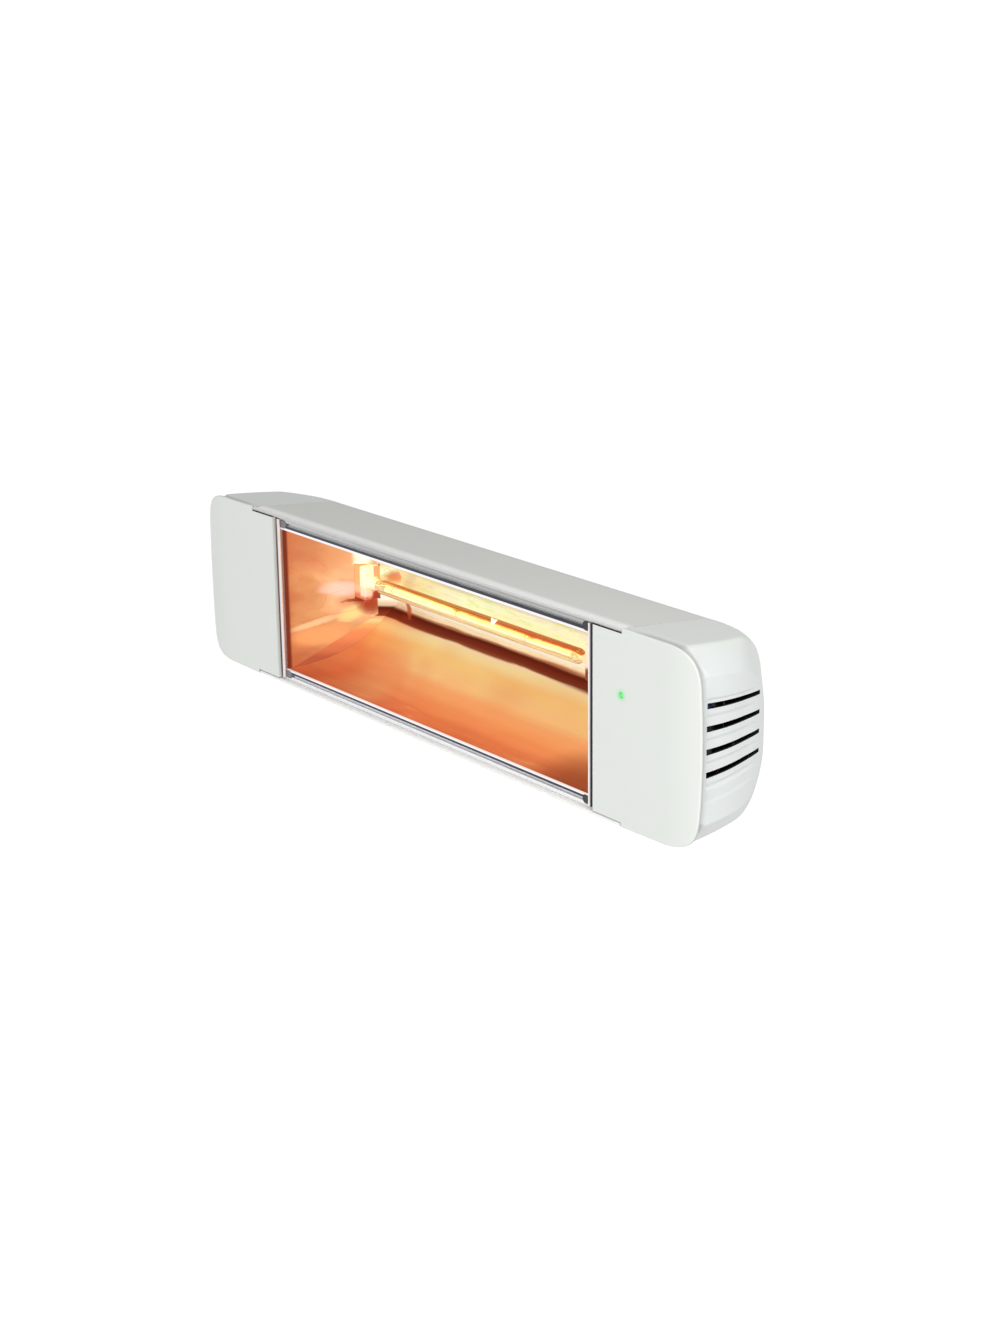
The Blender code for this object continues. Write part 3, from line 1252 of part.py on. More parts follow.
def make_pivot():
    axis_spot = [(0, -PIVOT_TO_WALL, 0)]
    low = YOKE_WIDTH / 2 + GAP
    profile = ring(PIVOT_RADIUS + GAP, WASHER_RADIUS, low, low + WASHER_THICKNESS)
    for side, word in ((1, "right"), (-1, "left")):
        turned(word + "_pivot_washer", profile, axis_spot[0], (side, 0, 0), "black_plastic", 20, "wall")
    head = EAR_OUTER_X + GAP
    head_radius = 1.85 * PIVOT_RADIUS
    hexagon_head = polygon(head_radius, (-PIVOT_TO_WALL, 0.0), 6, math.pi / 6)
    bolt = prism("pivot_bolt", hexagon_head, "X", -head - 1.3 * PIVOT_RADIUS, -head, "zinc_steel", "wall")
    shank = turned("bolt_shank", rod(PIVOT_RADIUS, -head - 0.001, head + 0.0085), axis_spot[0],
                   (1, 0, 0), None, 20, "wall")
    boolean(bolt, shank, "UNION")
    nut = prism("pivot_nut", hexagon_head, "X", head, head + 0.0068, "zinc_steel", "wall")
    boolean(nut, drill("nut_bore", PIVOT_RADIUS + GAP, axis_spot, (1, 0, 0), head - 0.002, head + 0.010,
                       20, "wall"))


def make_yoke():
    front_u = BACK_U + GAP
    back_u = front_u + YOKE_THICKNESS
    half = YOKE_WIDTH / 2
    yoke = boxes("yoke", [((-half, front_u, -YOKE_HEIGHT / 2), (half, back_u, YOKE_HEIGHT / 2))],
                 "zinc_steel")
    ears = bmesh.new()
    outline = ear_outline(front_u + YOKE_THICKNESS / 2, PIVOT_U, EAR_RADIUS, True)
    for side in (1, -1):
        add_prism(ears, outline, "X", *sorted((side * half, side * (half - YOKE_THICKNESS))))
    boolean(yoke, finish_mesh(ears, "yoke_ears", None, "heater"), "UNION")
    boolean(yoke, drill("yoke_bores", PIVOT_RADIUS + GAP, [(0, PIVOT_U, 0)], (1, 0, 0), -half - 0.003,
                        half + 0.003, 20))
    spots = [(x, back_u, 0) for x in (YOKE_SCREW_X, -YOKE_SCREW_X)]
    boolean(yoke, drill("yoke_screw_holes", 0.0025 + GAP, spots, (0, 1, 0), -0.005, 0.002, 12))
    screw = screw_profile(0.0022, 0.0042, 0.0095, 0.0028)
    for x, word in ((YOKE_SCREW_X, "right"), (-YOKE_SCREW_X, "left")):
        turned(word + "_yoke_screw", screw, (x, back_u + GAP, 0), (0, 1, 0), "zinc_steel", 12)
    half_x = YOKE_SCREW_X + 0.008
    half_z = TSLOT_INNER / 2 - GAP
    bar = [((-half_x, BACK_U - TSLOT_DEPTH + GAP, -half_z), (half_x, BACK_U - TSLOT_LIP - GAP, half_z))]
    slide_bar = boxes("slide_bar", bar, "zinc_steel")
    boolean(slide_bar, drill("slide_bar_holes", 0.0022 + GAP, spots, (0, 1, 0), -0.016, 0.002, 12))


def weight_normals():
    """Shade the cut pieces by their larger faces, so that flat walls stay flat round their holes."""
    for piece in bpy.data.objects:
        if piece.type == "MESH" and piece.modifiers and not piece.hide_render:
            shading = piece.modifiers.new("shading", "WEIGHTED_NORMAL")
            shading.keep_sharp = True


def main():
    clear_scene()
    PARENT["wall"] = empty("wall_frame", (0, 0, 0))
    PARENT["tilt"] = empty("tilt_axis", (0, -PIVOT_TO_WALL, 0))
    PARENT["heater"] = empty("heater_front", (0, -PIVOT_U, 0), PARENT["tilt"])
    make_wall_plate()
    make_pivot()
    make_yoke()
    make_housing()
    make_end_caps()
    make_gaskets()
    make_end_plates()
    make_screws()
    make_rails()
    make_side_trims()
    make_trough()
    make_reflector_ends()
    make_rail_plugs()
    make_lamp()
    make_holders()
    make_board()
    make_board_parts()
    make_terminal_block()
    make_gland()
    make_wiring()
    weight_normals()


main()
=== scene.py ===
"""Looks of the wall-hung infrared heater: fine pieces, materials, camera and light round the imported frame."""
import json
import math

import bmesh
import bpy
from mathutils import Matrix, Vector


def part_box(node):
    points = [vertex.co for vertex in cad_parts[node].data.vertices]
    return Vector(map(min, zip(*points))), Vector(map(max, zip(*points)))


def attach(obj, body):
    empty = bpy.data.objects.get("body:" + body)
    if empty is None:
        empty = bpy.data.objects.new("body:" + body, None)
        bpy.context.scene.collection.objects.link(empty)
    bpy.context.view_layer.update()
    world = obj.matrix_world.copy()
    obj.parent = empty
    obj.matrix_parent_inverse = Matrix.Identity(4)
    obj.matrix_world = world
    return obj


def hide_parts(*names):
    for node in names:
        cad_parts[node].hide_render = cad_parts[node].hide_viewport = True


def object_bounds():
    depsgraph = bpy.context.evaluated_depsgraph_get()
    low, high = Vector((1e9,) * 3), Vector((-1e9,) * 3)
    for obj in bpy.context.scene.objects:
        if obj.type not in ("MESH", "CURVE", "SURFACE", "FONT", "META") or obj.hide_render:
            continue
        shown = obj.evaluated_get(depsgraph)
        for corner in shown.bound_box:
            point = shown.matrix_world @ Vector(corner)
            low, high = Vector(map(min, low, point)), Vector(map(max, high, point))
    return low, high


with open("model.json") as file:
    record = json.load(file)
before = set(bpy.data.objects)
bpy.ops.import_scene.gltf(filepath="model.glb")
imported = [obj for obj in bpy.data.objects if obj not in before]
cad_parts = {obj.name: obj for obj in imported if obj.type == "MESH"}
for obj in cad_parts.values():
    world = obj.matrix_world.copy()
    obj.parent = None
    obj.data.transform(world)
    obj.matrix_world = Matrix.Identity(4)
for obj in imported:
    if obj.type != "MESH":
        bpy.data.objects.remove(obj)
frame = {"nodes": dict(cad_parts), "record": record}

cad_low, cad_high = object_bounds()
NODES = frame["nodes"]
WALL, HEATER = "wall_bracket", "heater"
SIDES = ((1, "right"), (-1, "left"))

# Depth below the front face, u, becomes Y in the row's frame
FRONT_Y = cad_low.y

# Sizes that the frame gives
OVERALL_WIDTH = cad_high.x - cad_low.x
FRONT_HEIGHT = cad_high.z - cad_low.z
HOUSING_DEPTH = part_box("housing")[1].y - FRONT_Y

# Sizes of the part's source, repeated for the fine pieces
GAP = 0.0003
TOP_TAPER = 0.10
REAR_RADIUS = 0.022
HOUSING_WALL = 0.0022
CAP_LENGTH = 0.0616
PLATE_TONGUE = 0.0247
TONGUE_GAP = 0.0008
PLATE_THICKNESS = 0.0025
FLANGE_THICKNESS = 0.0016
PLATE_CORNER = 0.025
PLATE_EDGE_BOW = 0.0011
PLATE_END_CURVE = 0.0035
PLATE_CURVE_RUN = 0.025
PLATE_EDGE_ROUND = 0.0007
CAP_WALL = 0.0025
SIDE_INSET = 0.0035
SIDE_FLARE = 0.083
SIDE_CURVE = 5.2
GROOVE_DEPTH = 0.0022
GROOVE_FADE = 0.016
GROOVE_FLAT = 0.0015
GROOVE_RUN = 0.0075
SIDE_FADE = 0.024
SHOULDER_WIDTH = 0.0145
SHOULDER_HEIGHT = 0.0150
REAR_SWEEP = 0.0179
REAR_SWEEP_POWER = 2.25
REAR_ROUNDING = 0.51
UPPER_CORNER = ((1.0, 0.0), (0.36, 0.02), (0.07, 0.28), (0.045, 0.94))
LOWER_CORNER = ((1.0, 0.02), (0.40, 0.08), (0.09, 0.17), (0.05, 0.92))
BODY_FRONT_U = 0.0010
SHOULDER = ((0.0, 0.0), (0.12, 0.03), (0.26, 0.14), (0.76, 0.69), (0.92, 0.88), (1.0, 1.0))
LOUVRE_COUNT = 4
LOUVRE_PITCH = 0.0134
LOUVRE_SLOT = 0.0033
LOUVRE_MIDDLE_Z = 0.0057
LOUVRE_FRONT_U = 0.0115
LOUVRE_REAR_U = 0.0575
LOUVRE_CONVERGE = 0.15
CAP_TAB_U = 0.0775
CAP_SCREW_INSET = 0.0116
CAP_SCREW_Z = 0.023
CAP_SCREW_RADIUS = 0.0017
CAP_PAD_RADIUS = 0.0044
PAD_PROUD = 0.0005
PAD_PHASE = math.radians(5)
RAIL_SHORT = 0.0042
PLUG_LENGTH = 0.0079
PLUG_HALF_HEIGHT = 0.0026
PLUG_ABOVE_MOUTH = 0.0023
PLUG_FRONT_U = 0.0027
PLUG_DEPTH = 0.0050
MIRROR_SHEET = 0.0008
MIRROR_EDGE_DEPTH = 0.0090
MIRROR_FRONT_U = 0.003
MIRROR_FLANGE = 0.0015
MIRROR_SHORT = 0.0050
MIRROR_END_SLOPE = 1.0
MIRROR_BACK_U = 0.060
LAMP_U = 0.044
LAMP_Z = 0.013
TUBE_RADIUS = 0.005
TUBE_WALL = 0.001
TUBE_INSET = 0.006
BASE_RADIUS = 0.0042
BASE_LENGTH = 0.0152
HOLDER_WIDTH = 0.012
HOLDER_HEIGHT = 0.023
HOLDER_LENGTH = 0.024
HOLDER_PROUD = 0.0057
LEAD_RADIUS = 0.0014
RIVET_RADIUS = 0.0010
RIVET_U = 0.0535
RIVET_ABOVE_LAMP = 0.0075
BOARD_OVER_SEAM = 0.0044
LED_INSET = 0.0040
LED_Z = 0.0201
LED_RADIUS = 0.0015
GLAND_INSET = 0.0176
GLAND_THREAD = 0.008
GLAND_BORE = 0.0045
GLAND_HEX = 0.0095
GLAND_NUT = 0.0032
GLAND_WALL = 0.0030
GLAND_BOSS_RADIUS = 0.0130
GLAND_BOSS_WALL = 0.0016
PIVOT_TO_WALL = 0.020
PIVOT_RADIUS = 0.004

# Camera and light, fitted to the photograph; lengths in metres, angles in degrees
CAMERA_PLACE = (1.11303, -0.93801, 0.43064)
CAMERA_TURNS = ((-0.6950, "Y"), (17.6911, "X"), (-51.7109, "Z"))
CAMERA_LENS = 62.857
CAMERA_SENSOR = 36.0
WORLD_STRENGTH = 0.47
FLOOR_LEVEL = -0.55
FLOOR_RADIUS = 60.0
FLOOR_GREY = (0.80, 0.80, 0.80)
FLOOR_GLOW = 0.64
LIGHTS = (("key", (1.6, -2.7, 0.9), (0, -0.1, 0), 2.2, 50.0),
          ("top", (0.95, -0.15, 0.80), (0.25, -0.05, 0.05), 0.6, 4.8))

# Places worked out from the sizes above
SEAM_X = OVERALL_WIDTH / 2 - CAP_LENGTH
SIDE_X = OVERALL_WIDTH / 2 - SIDE_INSET
PLATE_INNER_X = SEAM_X - PLATE_TONGUE
RAIL_LENGTH = 2 * (PLATE_INNER_X - RAIL_SHORT)
MIRROR_LENGTH = 2 * (PLATE_INNER_X - MIRROR_SHORT)
MIRROR_MOUTH_HALF = FRONT_HEIGHT / 2 - MIRROR_EDGE_DEPTH
PLUG_Z = MIRROR_MOUTH_HALF + PLUG_ABOVE_MOUTH
HOLDER_FACE_X = MIRROR_LENGTH / 2 - (LAMP_U - MIRROR_FRONT_U) * MIRROR_END_SLOPE - HOLDER_PROUD
TUBE_END_X = HOLDER_FACE_X - TUBE_INSET
CAP_SCREW_X = SEAM_X + CAP_SCREW_INSET
GLAND_X = -(SEAM_X + GLAND_INSET)
LED_X = SEAM_X - BOARD_OVER_SEAM + LED_INSET
SLOPE = math.hypot(1, TOP_TAPER)
TAPER_ANGLE = math.atan(TOP_TAPER)
SEAT_U = HOUSING_DEPTH + PAD_PROUD
LAMP_Y = FRONT_Y + LAMP_U


# Colours

def srgb(red, green, blue):
    """Scene-linear colour from display values of 0 to 255."""
    linear = []
    for value in (red / 255, green / 255, blue / 255):
        linear.append(value / 12.92 if value <= 0.04045 else ((value + 0.055) / 1.055) ** 2.4)
    return tuple(linear)


def shade(colour, amount):
    return tuple(min(1.0, c * amount) for c in colour)


# CREAM to COPPER are tones of the lamp's painted light on the reflector; PLATE_WHITE is the plates' own colour.
CREAM = srgb(249, 240, 206)
PALE_GOLD = srgb(248, 214, 146)
AMBER = srgb(243, 152, 84)
COPPER = srgb(216, 112, 68)
PLATE_WHITE = srgb(230, 234, 229)


# Nodes

class Value:
    """A node's output that can be reckoned with: each operation adds one node."""

    def __init__(self, socket):
        self.socket = socket
        self.tree = socket.id_data

    def math(self, operation, second=0.0, first=None):
        inputs = {0: self if first is None else first, 1: second}
        return Value(add(self.tree, "ShaderNodeMath", inputs, operation=operation).outputs[0])

    def __add__(self, other):
        return self.math("ADD", other)

    def __sub__(self, other):
        return self.math("SUBTRACT", other)

    def __rsub__(self, other):
        return self.math("SUBTRACT", self, other)

    def __mul__(self, other):
        return self.math("MULTIPLY", other)

    def __abs__(self):
        return self.math("ABSOLUTE")

    def at_least(self, other):
        return self.math("MAXIMUM", other)

    def at_most(self, other):
        return self.math("MINIMUM", other)

    def ranged(self, low, high, start=0.0, end=1.0, kind="LINEAR"):
        """low at start and high at end, and held beyond them."""
        inputs = {"Value": self, "From Min": start, "From Max": end, "To Min": low, "To Max": high}
        return Value(add(self.tree, "ShaderNodeMapRange", inputs, interpolation_type=kind).outputs[0])

    def fade(self, low, high, start, end):
        return self.ranged(low, high, start, end, "SMOOTHSTEP")

    def ramp(self, stops):
        """Colours along the value; the stops give (value, colour) in the value's own units."""
        low, high = stops[0][0], stops[-1][0]
        made = add(self.tree, "ShaderNodeValToRGB", {"Fac": self.ranged(0.0, 1.0, low, high)})
        made.color_ramp.interpolation = "EASE"
        elements = made.color_ramp.elements
        while len(elements) < len(stops):
            elements.new(0.5)
        for element, (place, colour) in zip(elements, stops):
            element.position = (place - low) / (high - low)
            element.color = (*colour, 1.0)
        return Value(made.outputs["Color"])


def feed(tree, socket, value):
    """Link a Value to an input, or set a plain number, vector or colour."""
    if isinstance(value, Value):
        tree.links.new(value.socket, socket)
    else:
        socket.default_value = (*value[:3], 1.0) if socket.type == "RGBA" else value


def add(tree, kind, inputs, **props):
    """Add a node, set its properties, and set or link its inputs."""
    made = tree.nodes.new(kind)
    for key, value in props.items():
        setattr(made, key, value)
    for key, value in inputs.items():
        feed(tree, made.inputs[key], value)
    return made


def distance(across, upward):
    return (across * across + upward * upward).math("SQRT")


class Look:
    """A material whose nodes are added step by step."""

    def __init__(self, name):
        self.made = bpy.data.materials.new(name)
        self.made.use_nodes = True
        self.tree = self.made.node_tree
        self.shader = self.tree.nodes["Principled BSDF"]
        self.spot = self.node("ShaderNodeTexCoord", "Object", {})
        parts = add(self.tree, "ShaderNodeSeparateXYZ", {"Vector": self.spot})
        self.x, self.y, self.z = (Value(parts.outputs[axis]) for axis in "XYZ")
        self.depth = self.y - FRONT_Y
        self.base = None

    def node(self, kind, output, inputs, **props):
        return Value(add(self.tree, kind, inputs, **props).outputs[output])

    def spread(self, stretch=(1, 1, 1), turn=(0, 0, 0)):
        inputs = {"Vector": self.spot, "Scale": stretch, "Rotation": turn}
        return self.node("ShaderNodeMapping", 0, inputs)

    def noise(self, scale, detail=3.0, roughness=0.55, distortion=0.0, stretch=(1, 1, 1)):
        inputs = {"Vector": self.spread(stretch), "Scale": scale, "Detail": detail, "Roughness": roughness,
                  "Distortion": distortion}
        return self.node("ShaderNodeTexNoise", "Fac", inputs)

    def mix(self, factor, first, second, mode="MIX"):
        inputs = {0: factor, 6: first, 7: second}
        return self.node("ShaderNodeMix", 2, inputs, data_type="RGBA", blend_type=mode)

    def layers(self, base, *layers):
        """Lay each (factor, colour) over the base colour in turn."""
        for factor, colour in layers:
            base = self.mix(factor, base, colour)
        return base

    def patches(self, base, depth, height, ovals):
        """Lay soft ovals of (centre, reach, tilt, colour, share) over the base colour."""
        for centre, reach, tilt, colour, share in ovals:
            base = self.mix(patch(depth, height, centre, reach, tilt) * share, base, colour)
        return base

    def set(self, **inputs):
        """Set or link the shader's inputs; an underscore stands for a space."""
        for key, value in inputs.items():
            feed(self.tree, self.shader.inputs[key.replace("_", " ")], value)
        self.base = inputs.get("Base_Color", self.base)
        return self

    def bump(self, *heights):
        """Stack (height, strength, distance) bumps into the shader's normal."""
        normal = {}
        for height, strength, reach in heights:
            inputs = {"Height": height, "Strength": strength, "Distance": reach, **normal}
            normal = {"Normal": self.node("ShaderNodeBump", 0, inputs)}
        return self.set(**normal)


# Plain materials

def moulded(name, colour, roughness, grain, depth, vary):
    """Moulded or coated surface: cloudy colour, fine grain and a few rubbed patches."""
    look = Look(name)
    patches = look.noise(55.0, 5.0, 0.6)
    base = look.mix(look.noise(14.0, 4.0), shade(colour, 1.0 - vary), shade(colour, 1.0 + vary))
    base = look.mix(patches.ranged(0.0, 0.35, 0.62, 0.78), base, shade(colour, 1.0 - 2.0 * vary))
    look.set(Base_Color=base, Roughness=patches.ranged(roughness - 0.04, roughness + 0.04, 0.3, 0.7))
    return look.bump((look.noise(42.0, 1.0), 0.15, 0.0002), (look.noise(grain, 2.0), 0.35, depth))


def painted_extrusion(name, colour, roughness):
    """Powder coat: orange peel, faint die lines along X and slight clouds, with a painted highlight along the
    rounded front edges and painted shade on the top lip's front face.
    """
    look = Look(name)
    clouds = look.noise(9.0, 4.0)
    lines = look.noise(22.0, 2.0, stretch=(0.6, 60, 60))
    # The lip mask paints shade on the top lip's front face; the pale layer near the front paints a highlight on
    # the rounded front edges.
    lip_painted_shade = look.depth.ranged(1.0, 0.0, 0.0003, 0.0008) * look.z.ranged(0.0, 1.0, -0.001, 0.001)
    base = look.layers(
        look.mix(clouds, shade(colour, 0.97), shade(colour, 1.03)),
        (lines.ranged(0.0, 0.25, 0.45, 0.8), shade(colour, 0.95)),
        (look.depth.fade(1.0, 0.0, 0.006, 0.012), srgb(253, 253, 251)),
        (lip_painted_shade, srgb(208, 208, 206)))
    look.set(Base_Color=base, Roughness=clouds.ranged(roughness - 0.05, roughness + 0.05, 0.3, 0.7))
    return look.bump((lines, 0.10, 0.0001), (look.noise(1100.0, 2.0, 0.5), 0.35, 0.00004))


def add_groove_shade(look):
    """Painted shade in the groove behind the front plate, and a cooler tint on the side that is painted light.
    """
    reach = abs(look.x)
    run = (reach - (OVERALL_WIDTH / 2 - PLATE_CURVE_RUN)).at_least(0.0)
    depth = look.depth - run * run * (PLATE_END_CURVE / PLATE_CURVE_RUN ** 2)
    side = reach.fade(0.0, 1.0, SIDE_X - 0.012, SIDE_X - 0.004) * depth.fade(0.0, 1.0, 0.003, 0.008)
    outward = reach.ranged(0.0, 1.0, SEAM_X, SEAM_X + GROOVE_FADE)
    level = abs(look.z).fade(0.0, 1.0, 0.038, 0.052)
    narrow = abs(depth - 0.0024).fade(0.85, 0.0, 0.0008, 0.0021)
    wide = abs(depth - 0.0050).fade(0.65, 0.0, 0.0005, 0.0042)
    painted_groove_shade = srgb(174, 175, 170)
    # The darker colour is painted shade in the groove; the pale blue-white over the side is painted light.
    base = look.layers(look.base, (side * 0.8, srgb(230, 234, 234)), (narrow * outward, painted_groove_shade),
                       (wide * (outward * level), painted_groove_shade))
    return look.set(Base_Color=base)


def add_indicator_glow(look):
    """Green light of the indicator, scattered in the plate around it."""
    near = distance(look.x - LED_X, look.z - LED_Z).fade(1.0, 0.0, 0.3 * LED_RADIUS, 3.4 * LED_RADIUS)
    glow = near * look.depth.ranged(1.0, 0.0, 0.0005, 0.0030)
    base = look.mix(glow * 0.85, look.base, srgb(128, 226, 150))
    return look.set(Base_Color=base, Emission_Color=srgb(70, 230, 110), Emission_Strength=glow * 0.10)


def cap_plastic(name):
    return add_groove_shade(moulded(name, PLATE_WHITE, 0.38, 1500.0, 0.00003, 0.010))


def drawn_metal(name, colour, roughness):
    """Rolled or drawn metal with streaks along X."""
    look = Look(name)
    streaks = look.noise(60.0, 3.0, 0.6, stretch=(1, 40, 40))
    base = look.mix(streaks, shade(colour, 0.92), shade(colour, 1.08))
    base = look.mix(look.noise(30.0).ranged(0.0, 0.25, 0.45, 0.75), base, shade(colour, 0.82))
    look.set(Base_Color=base, Roughness=streaks.ranged(roughness - 0.07, roughness + 0.07, 0.3, 0.7),
             Metallic=1.0, Anisotropic=0.4)
    return look.bump((streaks, 0.25, 0.00002))


def plated_steel(name):
    """Zinc plating: pale spangle, a bluish cast and dulled patches."""
    look = Look(name)
    cells = look.node("ShaderNodeTexVoronoi", "Color", {"Vector": look.spread(), "Scale": 260.0})
    dull = look.noise(90.0, 4.0, 0.65)
    base = look.mix(0.10, (0.58, 0.60, 0.62), cells, "OVERLAY")
    base = look.mix(dull.ranged(0.0, 0.5, 0.5, 0.8), base, (0.46, 0.47, 0.48))
    look.set(Base_Color=base, Roughness=dull.ranged(0.26, 0.46, 0.3, 0.75), Metallic=1.0)
    return look.bump((dull, 0.1, 0.0001), (look.noise(1200.0, 2.0), 0.2, 0.00002))


def glowing(name, colour, strength, second, scale, roughness=0.3):
    """A surface that shines by itself, mottled in two colours; the filament and the indicator are lamps, while
    on the tube's tip and the filament's supports the glow is painted light.
    """
    look = Look(name)
    tone = look.mix(look.noise(scale, 2.0), colour, second)
    return look.set(Base_Color=tone, Emission_Color=tone, Emission_Strength=strength, Roughness=roughness)


def board_laminate(name):
    """Green laminate with tracks under its varnish."""
    look = Look(name)
    tracks = look.node("ShaderNodeTexBrick", "Color", {
        "Vector": look.spread(turn=(math.pi / 2, 0, 0)), "Scale": 160.0, "Mortar Size": 0.03,
        "Color1": (0.03, 0.22, 0.09), "Color2": (0.04, 0.27, 0.12), "Mortar": (0.10, 0.42, 0.20)})
    fine = look.noise(700.0)
    base = look.mix(fine.ranged(0.0, 0.3), tracks, (0.02, 0.16, 0.07))
    return look.set(Base_Color=base, Roughness=fine.ranged(0.25, 0.4)).bump((fine, 0.2, 0.00003))


def braided(name, light, dark):
    """Glass-fibre sleeve: two crossing sets of strands."""
    look = Look(name)
    waves = []
    for turn in (0.8, -0.8):
        inputs = {"Vector": look.spread(turn=(turn, 0.3, turn)), "Scale": 150.0}
        waves.append(look.node("ShaderNodeTexWave", "Fac", inputs, bands_direction="X"))
    weave = waves[0].at_least(waves[1])
    look.set(Base_Color=look.mix(weave, dark, light), Roughness=0.85, Sheen_Weight=0.15)
    return look.bump((weave, 0.5, 0.0002))


# Materials with light, shade and reflections painted on

def glow_metal(look, paint, ripple):
    """Polished sheet that mirrors what is round it, with the lamp's warm light and reflections painted on as
    its colour and glow.
    """
    lines = look.noise(30.0, 2.0, stretch=(1, 60, 60))
    look.set(Base_Color=look.mix(1.0, paint, (0.30, 0.36, 0.46), "MULTIPLY"), Emission_Color=paint,
             Emission_Strength=0.80, Metallic=1.0, Roughness=lines.ranged(0.13, 0.22, 0.3, 0.7))
    return look.bump((ripple, 0.30, 0.0015), (lines, 0.06, 0.00005))


def patch(depth, height, centre, reach, tilt):
    """A soft oval in millimetres: 1 in its middle, 0 outside, tilted up towards the back by degrees."""
    across, upward = depth - centre[0] / 1000, height - centre[1] / 1000
    cos, sin = math.cos(math.radians(tilt)), math.sin(math.radians(tilt))
    along = (across * cos + upward * sin) * (1000 / reach[0])
    beside = (upward * cos - across * sin) * (1000 / reach[1])
    return (along * along + beside * beside).fade(1.0, 0.0, 0.0, 1.0)


def left_bands(height):
    """Painted light and reflection: colours of the trough's bands near its left end, by height."""
    return height.ramp([
        (-0.0500, srgb(176, 82, 50)), (-0.0430, srgb(208, 106, 64)), (-0.0330, srgb(230, 128, 76)),
        (-0.0230, srgb(242, 156, 88)), (-0.0150, srgb(246, 190, 122)), (-0.0112, srgb(236, 160, 98)),
        (-0.0100, srgb(134, 50, 26)), (-0.0045, srgb(92, 26, 10)), (-0.0026, srgb(220, 176, 136)),
        (0.0040, CREAM), (0.0130, srgb(244, 206, 130)), (0.0200, srgb(242, 226, 170)), (0.0300, AMBER),
        (0.0500, COPPER)])


def trough_metal(name):
    """Reflector trough with the lamp's light and its reflections painted on: bands along X whose colours change
    with height, soft clouds on the wing, dark mirrored patches, mottled reflections on the back wall, and a
    painted highlight and shadow at the front edge.
    """
    look = Look(name)
    ripple = look.noise(9.0, 3.0, 0.5, 0.6, (2, 14, 14))
    clouds = look.noise(1.3, 1.5, 0.4, 0.6, (8, 13, 13))
    mottle = look.noise(5.0, 3.0, 0.6, stretch=(12, 60, 60))
    height = look.z + ripple.ranged(-0.0006, 0.0006, 0.3, 0.7)
    middle = height.ramp([
        (-0.0500, srgb(190, 88, 54)), (-0.0470, srgb(216, 116, 72)), (-0.0430, srgb(232, 142, 88)),
        (-0.0370, srgb(240, 164, 104)), (-0.0300, srgb(248, 190, 120)), (-0.0210, srgb(250, 196, 118)),
        (-0.0140, PALE_GOLD), (-0.0118, srgb(250, 208, 158)), (-0.0104, srgb(140, 66, 36)),
        (-0.0085, srgb(120, 42, 22)), (-0.0052, srgb(96, 30, 12)), (-0.0040, srgb(170, 108, 78)),
        (-0.0026, srgb(238, 214, 178)), (0.0040, CREAM), (0.0125, srgb(243, 233, 172)),
        (0.0190, srgb(238, 232, 178)), (0.0235, srgb(214, 208, 186)), (0.0270, PALE_GOLD), (0.0400, AMBER),
        (0.0500, COPPER)])
    near_left = look.x.fade(1.0, 0.0, -0.125, -0.035) + clouds.ranged(-0.35, 0.35, 0.3, 0.7)
    wing = look.z.fade(1.0, 0.0, -0.014, -0.011)
    paint = look.layers(
        middle, (near_left.at_least(0.0).at_most(1.0), left_bands(height)),
        (clouds.fade(0.0, 0.40, 0.50, 0.80) * wing, srgb(250, 206, 136)),
        (clouds.fade(0.30, 0.0, 0.22, 0.48) * wing, srgb(230, 124, 72)))
    paint = look.patches(paint, look.x, look.z, (
        ((-90, -2), (10, 2.4), -40, srgb(170, 76, 40), 0.90),
        ((152, -52), (60, 20), 0, srgb(120, 50, 28), 0.75),
        ((150, -10.5), (110, 3.2), 0, srgb(112, 42, 22), 0.92)))
    back = look.z.fade(0.0, 1.0, 0.010, 0.014)
    # At the front edge: a painted highlight on the hem, and painted shadow on the flange beyond it.
    rim = abs(look.z).ramp([
        (0.0470, srgb(240, 232, 228)), (0.0500, srgb(238, 232, 232)), (0.0503, srgb(66, 64, 68)),
        (0.0530, srgb(60, 58, 62))])
    paint = look.layers(
        paint, (mottle.ranged(0.0, 0.85, 0.50, 0.64) * back, srgb(222, 220, 134)),
        (mottle.ranged(0.60, 0.0, 0.34, 0.46) * back, srgb(236, 206, 176)),
        (look.depth.ranged(1.0, 0.0, 0.0036, 0.0040), rim))
    return glow_metal(look, paint, ripple)


